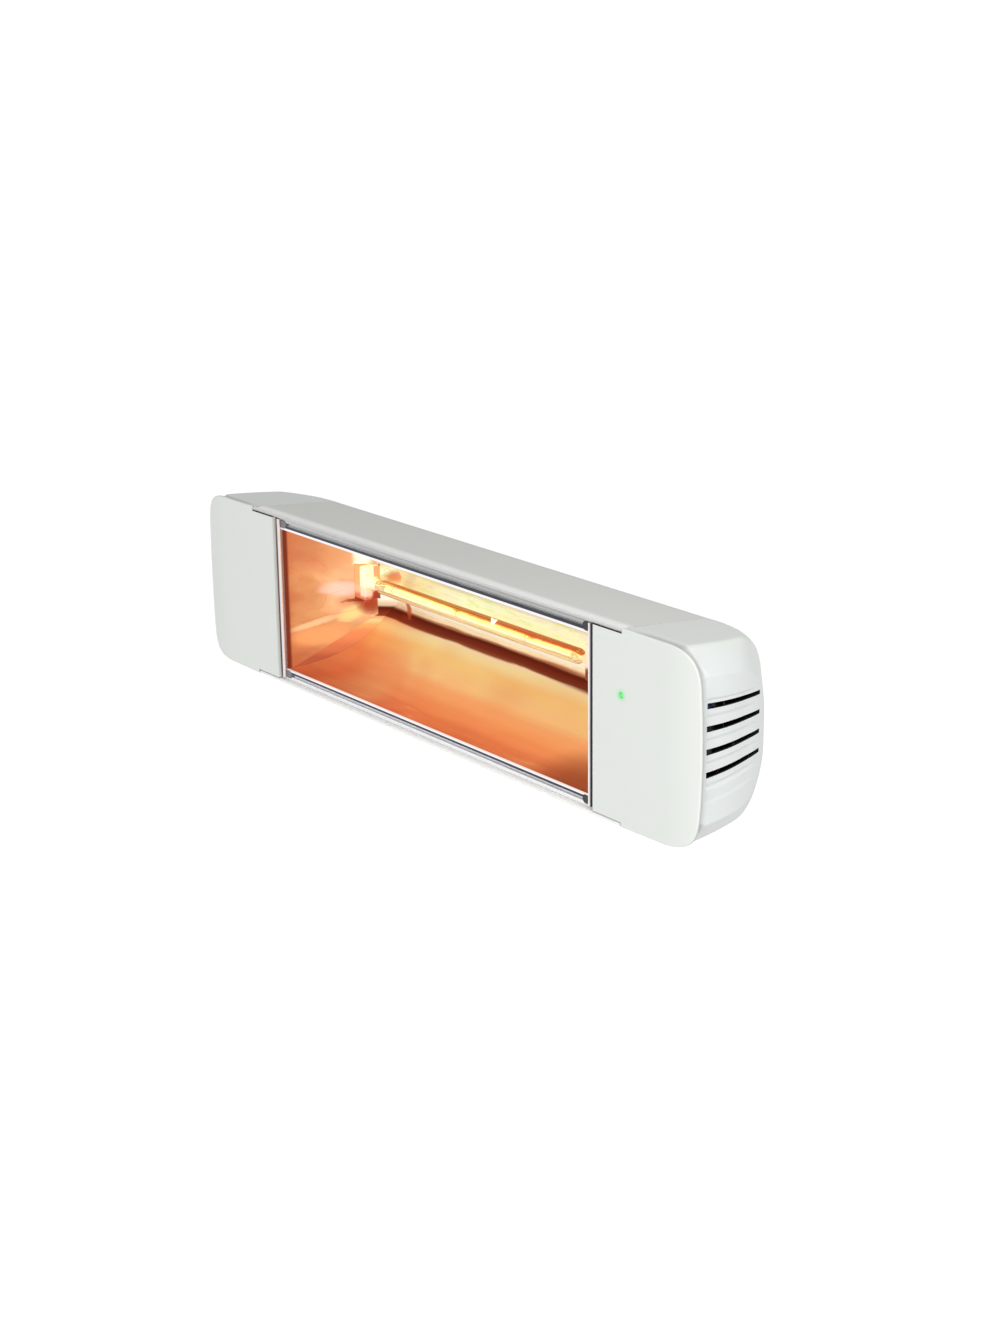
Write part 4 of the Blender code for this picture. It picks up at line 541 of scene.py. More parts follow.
def mirror_end_metal(name):
    """Reflector end with the lamp's light and its reflections painted on: soft rings of warm light round the
    lamp's end, painted crease lines and mirrored patches, painted shade along the front edge, and the trough's
    painted bands behind a painted fold line.
    """
    look = Look(name)
    painted_creases = look.noise(1.5, 2.0, 0.5, 1.2, (14, 14, 30))
    warp = look.noise(3.0, 3.0, 0.5, 1.0, (30, 30, 60)).ranged(-0.0008, 0.0008, 0.3, 0.7)
    depth = look.depth + warp
    height = look.z + warp
    away = distance((depth - LAMP_U) * 1.15, height - 0.004) + painted_creases.ranged(-0.009, 0.009, 0.3, 0.7)
    rings = away.ramp([
        (0.006, srgb(226, 146, 96)), (0.014, srgb(234, 168, 114)), (0.022, srgb(228, 158, 104)),
        (0.030, srgb(218, 144, 90)), (0.040, srgb(208, 132, 80)), (0.052, srgb(198, 114, 68)),
        (0.066, srgb(188, 98, 58))])
    paint = look.patches(rings, depth, height, (
        ((31, 8), (13, 7), 8, srgb(250, 196, 170), 0.75),
        ((20, 24), (20, 9), 24, srgb(222, 138, 88), 0.55),
        ((11, 34), (17, 17), 0, srgb(196, 112, 70), 0.60),
        ((36, -9), (10, 5.5), 38, srgb(252, 200, 122), 0.90),
        ((41.5, 30), (6, 12), 0, srgb(255, 244, 196), 0.95),
        ((17, -17), (19, 2.6), 27, srgb(252, 196, 140), 0.65),
        ((20, -25), (20, 8), 20, srgb(250, 152, 90), 0.80),
        ((45, -2), (9, 9), 60, srgb(158, 46, 20), 0.92),
        ((40, 0.8), (11, 1.6), 10, srgb(132, 40, 18), 0.90),
        ((52, 20), (1.8, 8), 0, srgb(255, 246, 214), 0.90)))
    # Behind this painted fold line the trough's painted bands of light carry on over the end.
    painted_fold_line = ((look.z + 0.010) * 1.07 + 0.0475).at_most(0.0485)
    lowered = look.z + look.z.ranged(-0.009, 0.0, -0.020, -0.012)
    paint = look.layers(
        paint, (abs(painted_creases - 0.52).ranged(0.45, 0.0, 0.0, 0.010), srgb(206, 104, 62)),
        (depth.fade(1.0, 0.0, 0.003, 0.010) * 0.55, srgb(192, 92, 54)),
        (look.depth.fade(0.95, 0.0, 0.0052, 0.0066), srgb(112, 40, 24)),
        ((look.depth - painted_fold_line).fade(0.0, 1.0, -0.0004, 0.0004), left_bands(lowered)))
    paint = look.patches(paint, depth, height, [((57, 17), (5, 5), 0, srgb(226, 100, 56), 0.7)])
    return glow_metal(look, paint, look.noise(30.0, 2.0, 0.5, 0.8))


def quartz_glass(name):
    """Hot quartz with light and reflections painted on by the angle round its axis: clear in front, a
    copper-coloured band of painted reflection along its top, and a faint painted glow.
    """
    look = Look(name)
    angle = (look.z - LAMP_Z).math("ARCTAN2", LAMP_Y - look.y) * (180 / math.pi)
    lines = look.noise(26.0, 3.0, 0.6, stretch=(0.5, 50, 50))
    wobble = look.noise(60.0, 2.0)
    shifted = angle + look.x.fade(-26.0, 4.0, -0.110, 0.030) + wobble.ranged(-4.0, 4.0, 0.3, 0.7)
    for centre in (-0.016, 0.060):
        shifted = shifted + abs(look.x - centre).fade(12.0, 0.0, 0.001, 0.006)
    tone = shifted.ramp([
        (-180, srgb(210, 120, 70)), (-100, srgb(248, 226, 182)), (-62, srgb(246, 228, 190)),
        (-34, srgb(250, 240, 208)), (-8, srgb(252, 246, 196)), (18, srgb(255, 252, 206)),
        (32, srgb(252, 236, 156)), (42, srgb(246, 190, 112)), (50, srgb(198, 98, 54)),
        (84, srgb(180, 78, 40)), (114, srgb(206, 112, 64)), (134, srgb(226, 150, 90)),
        (180, srgb(210, 120, 70))])
    tone = look.mix(lines.ranged(0.0, 0.85, 0.52, 0.60), tone, srgb(188, 176, 84))
    look.set(Base_Color=tone, Emission_Color=tone, Emission_Strength=0.14, IOR=1.46, Roughness=0.06,
             Transmission_Weight=abs(shifted - 90.0).ranged(0.10, 0.50, 36.0, 46.0))
    return look.bump((wobble, 0.1, 0.0003))


def lit_ceramic(name, upper, middle, lower, facing_lamp):
    """Steatite with the lamp's light painted on: bright at its front corner, painted bands of light and shade
    on the right socket, and plain away from the lamp.
    """
    look = Look(name)
    speck = look.noise(900.0, 3.0, 0.6)
    clouds = look.noise(70.0)
    reach = abs(look.x)
    lit = reach.fade(1.0, 0.0, HOLDER_FACE_X + 0.012, HOLDER_FACE_X + 0.018)
    height = look.z + clouds.ranged(-0.002, 0.002, 0.3, 0.7)
    if facing_lamp:
        strip = look.y.fade(1.0, 0.0, LAMP_Y - 0.0020, LAMP_Y + 0.0010)
    else:
        strip = reach.fade(1.0, 0.0, HOLDER_FACE_X + 0.0050, HOLDER_FACE_X + 0.0070)
    dim = height.ramp([(0.0020, lower), (0.0060, lower), (0.0100, middle), (0.0120, middle),
                       (0.0145, upper), (0.0300, upper)])
    bright = height.ramp([
        (0.0020, lower), (0.0045, srgb(206, 112, 84)), (0.0070, srgb(250, 206, 186)),
        (0.0110, srgb(252, 214, 180)), (0.0130, srgb(255, 250, 206)), (0.0300, srgb(255, 251, 214))])
    # Painted bands of light and shade on the right socket.
    shaded = height.ramp([
        (0.0060, srgb(112, 38, 18)), (0.0085, srgb(140, 70, 44)), (0.0105, srgb(232, 206, 170)),
        (0.0300, srgb(236, 222, 190))])
    warm = look.layers(dim, (strip, bright), (look.x.ranged(0.0, 1.0, -0.001, 0.001), shaded))
    base = look.mix(lit, srgb(226, 220, 206), warm)
    base = look.mix(speck.ranged(0.0, 0.3, 0.6, 0.75), base, srgb(190, 160, 120))
    look.set(Base_Color=base, Emission_Color=warm, Emission_Strength=lit * 0.42,
             Roughness=clouds.ranged(0.5, 0.7, 0.3, 0.7))
    return look.bump((speck, 0.3, 0.00008))


def strip_metal(look, streaks, tone, metallic):
    """Bright rolled strip with a painted-on reflection."""
    look.set(Base_Color=tone, Metallic=metallic, Roughness=streaks.ranged(0.30, 0.42, 0.3, 0.7))
    return look.bump((streaks, 0.2, 0.00003))


def rail_metal(name):
    """Rails with light and shade painted on: a pale lit band, painted shade under the housing's lip, and
    painted shadow in the dark joint at the reflector.
    """
    look = Look(name)
    streaks = look.noise(40.0, 3.0, 0.6, stretch=(1, 50, 50))
    height = look.z + streaks.ranged(-0.0003, 0.0003, 0.3, 0.7)
    upper = (height - look.x.fade(0.0, 0.0004, -0.08, 0.10)).ramp([
        (0.0490, srgb(80, 78, 84)), (0.0511, srgb(90, 88, 94)), (0.0516, srgb(196, 197, 196)),
        (0.0535, srgb(188, 189, 188)), (0.0548, srgb(170, 171, 170)), (0.0566, srgb(150, 151, 150))])
    lower = (height + look.x.fade(0.0, 0.0008, -0.08, 0.12)).ramp([
        (-0.0570, srgb(222, 223, 228)), (-0.0556, srgb(240, 241, 244)), (-0.0540, srgb(248, 248, 250)),
        (-0.0525, srgb(244, 244, 247)), (-0.0520, srgb(110, 110, 114)), (-0.0500, srgb(74, 74, 78))])
    # Paler towards the left: painted light on the top rail.
    pale = look.x.fade(0.6, 0.0, -0.14, 0.02) * height.ranged(0.0, 1.0, 0.0513, 0.0517)
    upper = look.mix(pale, upper, srgb(214, 215, 216))
    tone = look.mix(look.z.ranged(0.0, 1.0, -0.001, 0.001), lower, upper)
    return strip_metal(look, streaks, tone, 0.10)


def trim_metal(name):
    """Upright strips with light and shade painted on: each has painted shadow along its outer edge by the
    plate; on the right a painted highlight next to the reflector, on the left warm mirrored light.
    """
    look = Look(name)
    streaks = look.noise(40.0, 3.0, 0.6, stretch=(50, 50, 1))
    across = look.x + streaks.ranged(-0.0001, 0.0001, 0.3, 0.7)
    edge = PLATE_INNER_X - 0.0031
    right = (across - edge).ramp([
        (-0.0027, srgb(250, 240, 236)), (-0.0014, srgb(244, 240, 240)), (-0.0011, srgb(150, 148, 150)),
        (-0.0003, srgb(84, 82, 86)), (0.0004, srgb(70, 68, 72))])
    left = (across + edge).ramp([
        (-0.0004, srgb(90, 96, 110)), (0.0002, srgb(214, 216, 226)), (0.0014, srgb(232, 232, 238)),
        (0.0018, srgb(254, 238, 230)), (0.0027, srgb(254, 232, 222))])
    tone = look.mix(look.x.ranged(0.0, 1.0, -0.001, 0.001), left, right)
    return strip_metal(look, streaks, tone, 0.35)


LOOKS = {name: maker(name, *rest).made for name, maker, *rest in (
    ("housing_paint", painted_extrusion, srgb(224, 225, 219), 0.42),
    ("cap_plastic", cap_plastic),
    ("seal_rubber", moulded, (0.50, 0.50, 0.48), 0.78, 900.0, 0.00006, 0.05),
    ("bright_aluminium", drawn_metal, (0.62, 0.64, 0.72), 0.30),
    ("mirror_aluminium", trough_metal),
    ("quartz", quartz_glass),
    ("tungsten", glowing, (1.0, 0.90, 0.50), 1.25, (1.0, 0.97, 0.62), 600.0),
    ("ceramic", lit_ceramic, srgb(240, 170, 112), srgb(244, 180, 138), srgb(206, 112, 74), False),
    ("zinc_steel", plated_steel),
    ("black_plastic", moulded, (0.018, 0.018, 0.020), 0.42, 1600.0, 0.00004, 0.2),
    ("grey_plastic", moulded, (0.16, 0.165, 0.17), 0.5, 1200.0, 0.00004, 0.1),
    ("circuit_board", board_laminate),
    ("relay_blue", moulded, (0.03, 0.12, 0.40), 0.35, 1200.0, 0.00003, 0.08),
    ("lead_sleeve", braided, (0.82, 0.78, 0.68), (0.50, 0.45, 0.36)),
    ("cable_sheath", moulded, (0.03, 0.03, 0.032), 0.6, 900.0, 0.00006, 0.15),
    ("brass", drawn_metal, (0.72, 0.52, 0.22), 0.3),
    ("indicator_green", glowing, srgb(70, 190, 96), 0.55, srgb(98, 216, 124), 900.0))}
MIRROR_END = mirror_end_metal("mirror_end").made
SOCKET_FACE = lit_ceramic("socket_face", srgb(240, 168, 120), srgb(206, 108, 74), srgb(150, 52, 30),
                          True).made
# Near-black painted shade for the slots' walls, the cap's inside and the tongue's edges.
SHADOWED = moulded("shadowed_plastic", (0.006, 0.006, 0.007), 0.75, 900.0, 0.00003, 0.2).made
# Painted glow of the filament's light on the tube's sealing tip.
QUARTZ_TIP_PAINTED_GLOW = glowing("quartz_tip_painted_glow", srgb(250, 238, 226), 0.42, srgb(255, 250, 240), 500.0, 0.15).made
# Painted orange glow of the filament's light on its support wires.
SUPPORT_WIRE_PAINTED_GLOW = glowing("support_wire_painted_glow", srgb(214, 122, 66), 0.55, srgb(176, 84, 44), 500.0, 0.5).made
INDICATOR_CAP = add_indicator_glow(cap_plastic("indicator_cap_plastic")).made
# The left rail plugs are black plastic like the right ones; their lighter grey here is painted light.
LEFT_PLUG_PAINTED_LIGHT = moulded("left_plug_painted_light", (0.20, 0.20, 0.21), 0.45, 1600.0, 0.00004, 0.1).made
RAILS = rail_metal("rail_metal").made
TRIMS = trim_metal("trim_metal").made
OWN_LOOKS = {"top_rail": RAILS, "bottom_rail": RAILS, "left_side_trim": TRIMS, "right_side_trim": TRIMS,
             "left_top_rail_plug": LEFT_PLUG_PAINTED_LIGHT, "left_bottom_rail_plug": LEFT_PLUG_PAINTED_LIGHT}
SOFTENED = {"top_rail": 0.0003, "bottom_rail": 0.0003, "left_side_trim": 0.0003, "right_side_trim": 0.0003,
            "left_top_rail_plug": 0.0005, "right_top_rail_plug": 0.0005, "left_bottom_rail_plug": 0.0005,
            "right_bottom_rail_plug": 0.0005, "wall_plate": 0.0005, "yoke": 0.0004}
ROUND_ANGLE = math.radians(35.0)


def dress_nodes():
    """Give the carried-over nodes their looks, and small rounds where light would catch an edge."""
    slots = {s["node"]: s["material_slot"] for s in frame["record"]["subparts"]}
    for name, node in NODES.items():
        if not node.data.materials:
            node.data.materials.append(LOOKS[slots[name]])
        for place in node.material_slots:
            place.material = OWN_LOOKS.get(name, LOOKS[slots[name]])
    for name, width in SOFTENED.items():
        rounds = NODES[name].modifiers.new("rounds", "BEVEL")
        rounds.width = width
        rounds.segments = 3
        rounds.limit_method = "ANGLE"
        rounds.angle_limit = ROUND_ANGLE
        rounds.use_clamp_overlap = True
        rounds.harden_normals = False
        NODES[name].modifiers.new("shading", "WEIGHTED_NORMAL").keep_sharp = True


# Mesh helpers; outlines and forms are in (x, u, z) and move to the frame when they become pieces
JOIN_REACH = 1e-7
CURVE_STEPS = 28
BACKWARD = (0, 1, 0)


def smoothstep(t):
    t = min(max(t, 0.0), 1.0)
    return t * t * (3 - 2 * t)


def around(centre, radius, angles):
    return [(centre[0] + radius * math.cos(a), centre[1] + radius * math.sin(a)) for a in angles]


def arc(centre, radius, start, end, steps):
    return around(centre, radius, [start + (end - start) * i / steps for i in range(steps + 1)])


def polygon(radius, centre, count, phase=0.0):
    return around(centre, radius, [phase + math.tau * i / count for i in range(count)])


def quarter(steps):
    """Sine and cosine at even steps through a quarter turn."""
    angles = [math.pi / 2 * i / steps for i in range(steps + 1)]
    return [(math.sin(a), math.cos(a)) for a in angles]


def curve(controls):
    """Points along a Bezier curve with any number of control points."""
    made = []
    for i in range(CURVE_STEPS + 1):
        points = [Vector(p) for p in controls]
        while len(points) > 1:
            points = [a.lerp(b, i / CURVE_STEPS) for a, b in zip(points, points[1:])]
        made.append(tuple(points[0]))
    return made


def cut_across(bm, place, axis, reach):
    """Split all faces with a plane square to an axis, and keep both sides."""
    bmesh.ops.bisect_plane(bm, geom=bm.verts[:] + bm.edges[:] + bm.faces[:], dist=reach, plane_co=place,
                           plane_no=axis)


def round_edges(bm, edges, width, segments):
    bmesh.ops.bevel(bm, geom=edges, offset=width, segments=segments, profile=0.5, affect="EDGES")


def to_side(bm, side):
    """Mirror what was drawn for the right side when it is for the left."""
    bmesh.ops.scale(bm, vec=(side, 1, 1), verts=bm.verts)


def span(side, near, far):
    """Low and high end of a stretch of X on one side."""
    return sorted((side * near, side * far))


def place_point(point, axis, height):
    a, b = point
    if axis == "X":
        return (height, a, b)
    if axis == "Y":
        return (a, height, b)
    return (a, b, height)


def add_block(bm, bottom, top):
    """A closed block between two outlines in space that have as many points."""
    near = [bm.verts.new(p) for p in bottom]
    far = [bm.verts.new(p) for p in top]
    bm.faces.new(near)
    bm.faces.new(far[::-1])
    for i in range(len(near)):
        j = (i + 1) % len(near)
        bm.faces.new((near[i], far[i], far[j], near[j]))


def add_bands(bm, rows, closed):
    """Quads between each row of vertices and the next."""
    for near, far in zip(rows, rows[1:]):
        for i in range(len(near) if closed else len(near) - 1):
            j = (i + 1) % len(near)
            bm.faces.new((near[i], near[j], far[j], far[i]))


def add_prism(bm, outline, axis, low, high):
    add_block(bm, [place_point(p, axis, low) for p in outline], [place_point(p, axis, high) for p in outline])


def add_box(bm, low, high):
    outline = [(low[0], low[1]), (high[0], low[1]), (high[0], high[1]), (low[0], high[1])]
    add_prism(bm, outline, "Z", low[2], high[2])


def upright_on(origin, axis):
    """Matrix that stands the Z axis on the origin along another axis."""
    turn = Vector((0, 0, 1)).rotation_difference(Vector(axis)).to_matrix().to_4x4()
    return Matrix.Translation(origin) @ turn


def add_turned(bm, profile, origin, axis, steps):
    """Spin a (radius, height) profile, from axis to axis or closed on itself, about an axis."""
    move = upright_on(origin, axis)
    rings = []
    for radius, height in profile:
        if radius <= 0:
            rings.append([bm.verts.new(move @ Vector((0, 0, height)))])
            continue
        rings.append([bm.verts.new(move @ Vector((radius * math.cos(math.tau * i / steps),
                                                  radius * math.sin(math.tau * i / steps), height)))
                      for i in range(steps)])
    pairs = list(zip(rings, rings[1:]))
    if profile[0][0] > 0:
        pairs.append((rings[-1], rings[0]))
    for near, far in pairs:
        for i in range(steps):
            j = (i + 1) % steps
            corners = [near[i % len(near)], near[j % len(near)], far[j % len(far)], far[i % len(far)]]
            distinct = list(dict.fromkeys(corners))
            if len(distinct) > 2:
                bm.faces.new(distinct)


def add_tube(bm, points, radius, sides):
    """Sweep a round section along a list of points and cap its ends."""
    rings = []
    normal = None
    for i, point in enumerate(points):
        ahead = points[min(i + 1, len(points) - 1)] - points[max(i - 1, 0)]
        ahead.normalize()
        if normal is None:
            normal = ahead.orthogonal().normalized()
        normal = (normal - ahead * normal.dot(ahead)).normalized()
        across = ahead.cross(normal)
        rings.append([bm.verts.new(point + normal * (radius * math.cos(math.tau * k / sides))
                                   + across * (radius * math.sin(math.tau * k / sides)))
                      for k in range(sides)])
    add_bands(bm, rings, True)
    bm.faces.new(rings[0])
    bm.faces.new(rings[-1][::-1])


def place_object(name, data):
    made = bpy.data.objects.new(name, data)
    bpy.context.collection.objects.link(made)
    return made


def sheet(bm, name):
    """A bmesh as an object, just as it is."""
    mesh = bpy.data.meshes.new(name)
    bm.to_mesh(mesh)
    bm.free()
    return place_object(name, mesh)


def form(bm):
    """A closed bmesh as a working object."""
    bmesh.ops.remove_doubles(bm, verts=bm.verts, dist=JOIN_REACH)
    bmesh.ops.recalc_face_normals(bm, faces=bm.faces)
    return sheet(bm, "form")


def prism_form(outline, axis, low, high):
    bm = bmesh.new()
    add_prism(bm, outline, axis, low, high)
    return form(bm)


def turned_form(profile, origin, axis, steps):
    bm = bmesh.new()
    add_turned(bm, profile, origin, axis, steps)
    return form(bm)


def rod_form(radius, low, high, origin, axis, steps=40):
    return turned_form([(0, low), (radius, low), (radius, high), (0, high)], origin, axis, steps)


def box_form(low, high):
    bm = bmesh.new()
    add_box(bm, low, high)
    return form(bm)


def combine(target, tool, operation="DIFFERENCE"):
    """Boolean the tool into the target for good and remove the tool."""
    step = target.modifiers.new("cut", "BOOLEAN")
    step.operation = operation
    step.solver = "EXACT"
    step.object = tool
    bpy.context.view_layer.update()
    evaluated = target.evaluated_get(bpy.context.evaluated_depsgraph_get())
    result = bpy.data.meshes.new_from_object(evaluated)
    target.modifiers.clear()
    old = target.data
    target.data = result
    bpy.data.meshes.remove(old)
    spent = tool.data
    bpy.data.objects.remove(tool)
    bpy.data.meshes.remove(spent)
    return target


def piece(made, name, slot, replaces=(), look=None, body=HEATER, smooth=30.0, looks=()):
    """Turn a working object into a named piece that rides on a body; its slot gives the usual look."""
    made.name = name
    mesh = made.data
    mesh.name = name
    mesh.transform(Matrix.Translation((0, FRONT_Y, 0)))
    marks = [face.material_index for face in mesh.polygons]
    mesh.materials.clear()
    for one in (look or LOOKS[slot], *looks):
        mesh.materials.append(one)
    mesh.polygons.foreach_set("material_index", marks if looks else [0] * len(marks))
    mesh.shade_smooth()
    mesh.set_sharp_from_angle(angle=math.radians(smooth))
    made.modifiers.new("shading", "WEIGHTED_NORMAL").keep_sharp = True
    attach(made, body)
    if replaces:
        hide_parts(*replaces)


# Section of the housing and the caps

def top_line(u, inset=0.0):
    """Height of the section's top surface at depth u, drawn in by an inset square to it."""
    return FRONT_HEIGHT / 2 - TOP_TAPER * u - inset * SLOPE


def section_arc(inset, drop, pull, steps):
    """The rear corner from the top line to the back; drop lowers it and pull brings it forward."""
    radius = REAR_RADIUS + REAR_ROUNDING * pull - inset
    centre_u = HOUSING_DEPTH - pull - inset - radius
    centre_z = top_line(centre_u, inset + radius) - drop
    return arc((centre_u, centre_z), radius, math.pi / 2 - TAPER_ANGLE, 0.0, steps)


# End caps; THROUGH is how far a hole's cutter reaches before and behind the cap's back
THROUGH = (-0.012, 0.004)


def end_curve(x):
    """How far back the front plate's outer end curves at x."""
    run = abs(x) - (OVERALL_WIDTH / 2 - PLATE_CURVE_RUN)
    return PLATE_END_CURVE * (run / PLATE_CURVE_RUN) ** 2 if run > 0 else 0.0


def side_bow(u):
    """How far the cap's side falls inward at depth u."""
    run = max(u - LOUVRE_FRONT_U, 0.0)
    return SIDE_CURVE * run ** 2 - SIDE_FLARE * run


def plate_outline():
    """Front plate in (x, z): a tongue over the housing's mouth, then the round-cornered plate."""
    half = FRONT_HEIGHT / 2
    edge_x = OVERALL_WIDTH / 2
    tongue = top_line(0.0, HOUSING_WALL) - TONGUE_GAP
    halves = []
    for shape in (UPPER_CORNER, LOWER_CORNER):
        controls = [(edge_x - a * PLATE_CORNER, half - b * PLATE_CORNER) for a, b in shape]
        corner = curve(controls)
        straight = corner[-1][1]
        bow = [(edge_x - PLATE_EDGE_BOW * (t / 6) ** 2, straight * t / 6) for t in range(5, 0, -1)]
        halves.append([(PLATE_INNER_X, tongue), (SEAM_X, tongue), (SEAM_X, half), *corner, *bow])
    lower = [(x, -z) for x, z in reversed(halves[1])]
    return halves[0] + [(edge_x, 0.0)] + lower


def plate_form(side):
    bm = bmesh.new()
    add_prism(bm, plate_outline(), "Y", 0.0, FLANGE_THICKNESS)
    bmesh.ops.recalc_face_normals(bm, faces=bm.faces)
    rim = [e for e in bm.edges if all(abs(v.co.y) < 1e-6 for v in e.verts)
           and max(v.co.x for v in e.verts) > SEAM_X + GAP]
    round_edges(bm, rim, PLATE_EDGE_ROUND, 5)
    curve_start = OVERALL_WIDTH / 2 - PLATE_CURVE_RUN
    for i in range(12):
        cut_across(bm, (curve_start + PLATE_CURVE_RUN * i / 12, 0, 0), (1, 0, 0), 1e-6)
    for vert in bm.verts:
        vert.co.y += end_curve(vert.co.x)
    to_side(bm, side)
    reach = top_line(0.0, HOUSING_WALL) - TONGUE_GAP - 0.0001
    low, high = span(side, PLATE_INNER_X + 0.0001, SEAM_X + 0.0005)
    return combine(form(bm), box_form((low, BODY_FRONT_U, -reach), (high, PLATE_THICKNESS, reach)), "UNION")


def shoulder_drop(t):
    """Share of the shoulder's height lost at a share t of its width, rounded at its creases."""
    knots = [(-0.2, 0.0)] + list(SHOULDER) + [(1.2, 1.3)]
    for k in range(1, len(knots) - 2):
        (x0, y0), (x1, y1), (x2, y2), (x3, y3) = knots[k - 1:k + 3]
        if t <= x2 or k == len(knots) - 3:
            span = x2 - x1
            f = (t - x1) / span
            near = (y2 - y0) / (x2 - x0) * span
            far = (y3 - y1) / (x3 - x1) * span
            return (2 * f ** 3 - 3 * f ** 2 + 1) * y1 + (f ** 3 - 2 * f ** 2 + f) * near \
                + (3 * f ** 2 - 2 * f ** 3) * y2 + (f ** 3 - f ** 2) * far
    return 1.0


def cap_stations(fine):
    """(x, drop of the top, pull of the back) from the seam to the cap's side."""
    shoulder_start = SIDE_X - SHOULDER_WIDTH
    plain, faceted = (18, 30) if fine else (6, 6)
    xs = [SEAM_X + (shoulder_start - SEAM_X) * i / plain for i in range(plain)]
    stations = [(x, 0.0) for x in xs]
    for i in range(faceted + 1):
        t = i / faceted
        stations.append((shoulder_start + t * SHOULDER_WIDTH, SHOULDER_HEIGHT * shoulder_drop(t)))
    return [(x, drop, REAR_SWEEP * cap_reach(x) ** REAR_SWEEP_POWER) for x, drop in stations]


def cap_reach(x):
    """0 at the seam and 1 at the cap's side."""
    return (x - SEAM_X) / (SIDE_X - SEAM_X)


def body_ring(x, drop, pull, shell, front_u, fine):
    """One closed section of the cap's body at x, drawn in by shell."""
    fade = smoothstep((x - SEAM_X) / GROOVE_FADE)
    side_fade = smoothstep((x - SIDE_X + SIDE_FADE) / SIDE_FADE)
    reach = cap_reach(x) ** 2
    bend = end_curve(x)
    rear = section_arc(shell, drop, pull, 64 if fine else 10)
    groove, flat = (12, 44) if fine else (3, 2)
    samples = [(front_u, 1.0)]
    for i in range(groove + 1):
        behind = GROOVE_FLAT + (GROOVE_RUN - GROOVE_FLAT) * i / groove
        samples.append((FLANGE_THICKNESS + behind, 1.0 - smoothstep(i / groove)))
    start_u = FLANGE_THICKNESS + GROOVE_RUN
    samples += [(start_u + (rear[0][0] - bend - start_u) * i / flat, 0.0) for i in range(1, flat)]
    upper = []
    for u, waist in samples:
        u_bent = u + bend
        z = top_line(u_bent, shell) - drop - GROOVE_DEPTH * waist * fade
        upper.append((u_bent, z, GROOVE_DEPTH * waist * side_fade))
    upper += [(u, z, 0.0) for u, z in rear]
    points = [(x - shell * reach - side_bow(u) * reach - waist, u, z) for u, z, waist in upper]
    return points + [(px, u, -z) for px, u, z in reversed(points)]


# Louvred pocket in the cap's side: rows are counted in louvre pitches downward from the first slot
POCKET_FRONT_U = LOUVRE_FRONT_U - 0.0012
POCKET_REAR_U = LOUVRE_REAR_U + 0.0035
POCKET_TOP_ROW = -0.36
POCKET_BLIND_ROW = 3.52
POCKET_END_ROW = 4.25
POCKET_SHALLOW = 0.0008
POCKET_DEEP = 0.0016
POCKET_EDGE_U = 0.0013
POCKET_EDGE_ROW = 0.10
STEP_START = 0.36
BLIND_RISE = 0.62
BLIND_RISE_ROWS = 0.16
POCKET_FADE_START = 0.60
POCKET_FADE_RUN = 0.36
SLOT_TAPER = 0.12
SLOT_INWARD = 0.005
SLOT_OUTWARD = 0.0045


def louvre_closing(u):
    """The rows draw together towards the back."""
    return 1 - LOUVRE_CONVERGE * (u - LOUVRE_FRONT_U) / (LOUVRE_REAR_U - LOUVRE_FRONT_U)


def louvre_z(row, u):
    return LOUVRE_MIDDLE_Z + ((LOUVRE_COUNT - 1) / 2 - row) * LOUVRE_PITCH * louvre_closing(u)


def pocket_depth(u, z):
    """How far the louvred pocket is sunk into the side at (u, z)."""
    if not POCKET_FRONT_U < u < POCKET_REAR_U:
        return 0.0
    row = (LOUVRE_COUNT - 1) / 2 - (z - LOUVRE_MIDDLE_Z) / (LOUVRE_PITCH * louvre_closing(u))
    if not POCKET_TOP_ROW < row < POCKET_END_ROW:
        return 0.0
    phase = row - math.floor(row + 0.5)
    if row < STEP_START:
        depth = POCKET_SHALLOW
    elif row < POCKET_BLIND_ROW:
        fall = smoothstep((phase - STEP_START) / (0.5 - STEP_START))
        climb = (phase + 0.5) / (STEP_START + 0.5)
        slope = POCKET_DEEP + (POCKET_SHALLOW - POCKET_DEEP) * climb
        depth = slope if phase < STEP_START else POCKET_SHALLOW + (POCKET_DEEP - POCKET_SHALLOW) * fall
    else:
        depth = POCKET_DEEP * (1 - BLIND_RISE * smoothstep((row - POCKET_BLIND_ROW) / BLIND_RISE_ROWS))
    ends = smoothstep((row - POCKET_TOP_ROW) / POCKET_EDGE_ROW)
    ends *= smoothstep((POCKET_END_ROW - row) / (1.6 * POCKET_EDGE_ROW))
    run = (u - POCKET_FRONT_U) / (POCKET_REAR_U - POCKET_FRONT_U)
    fade = 1 - smoothstep((run - POCKET_FADE_START) / POCKET_FADE_RUN)
    return depth * ends * fade * smoothstep((u - POCKET_FRONT_U) / POCKET_EDGE_U)


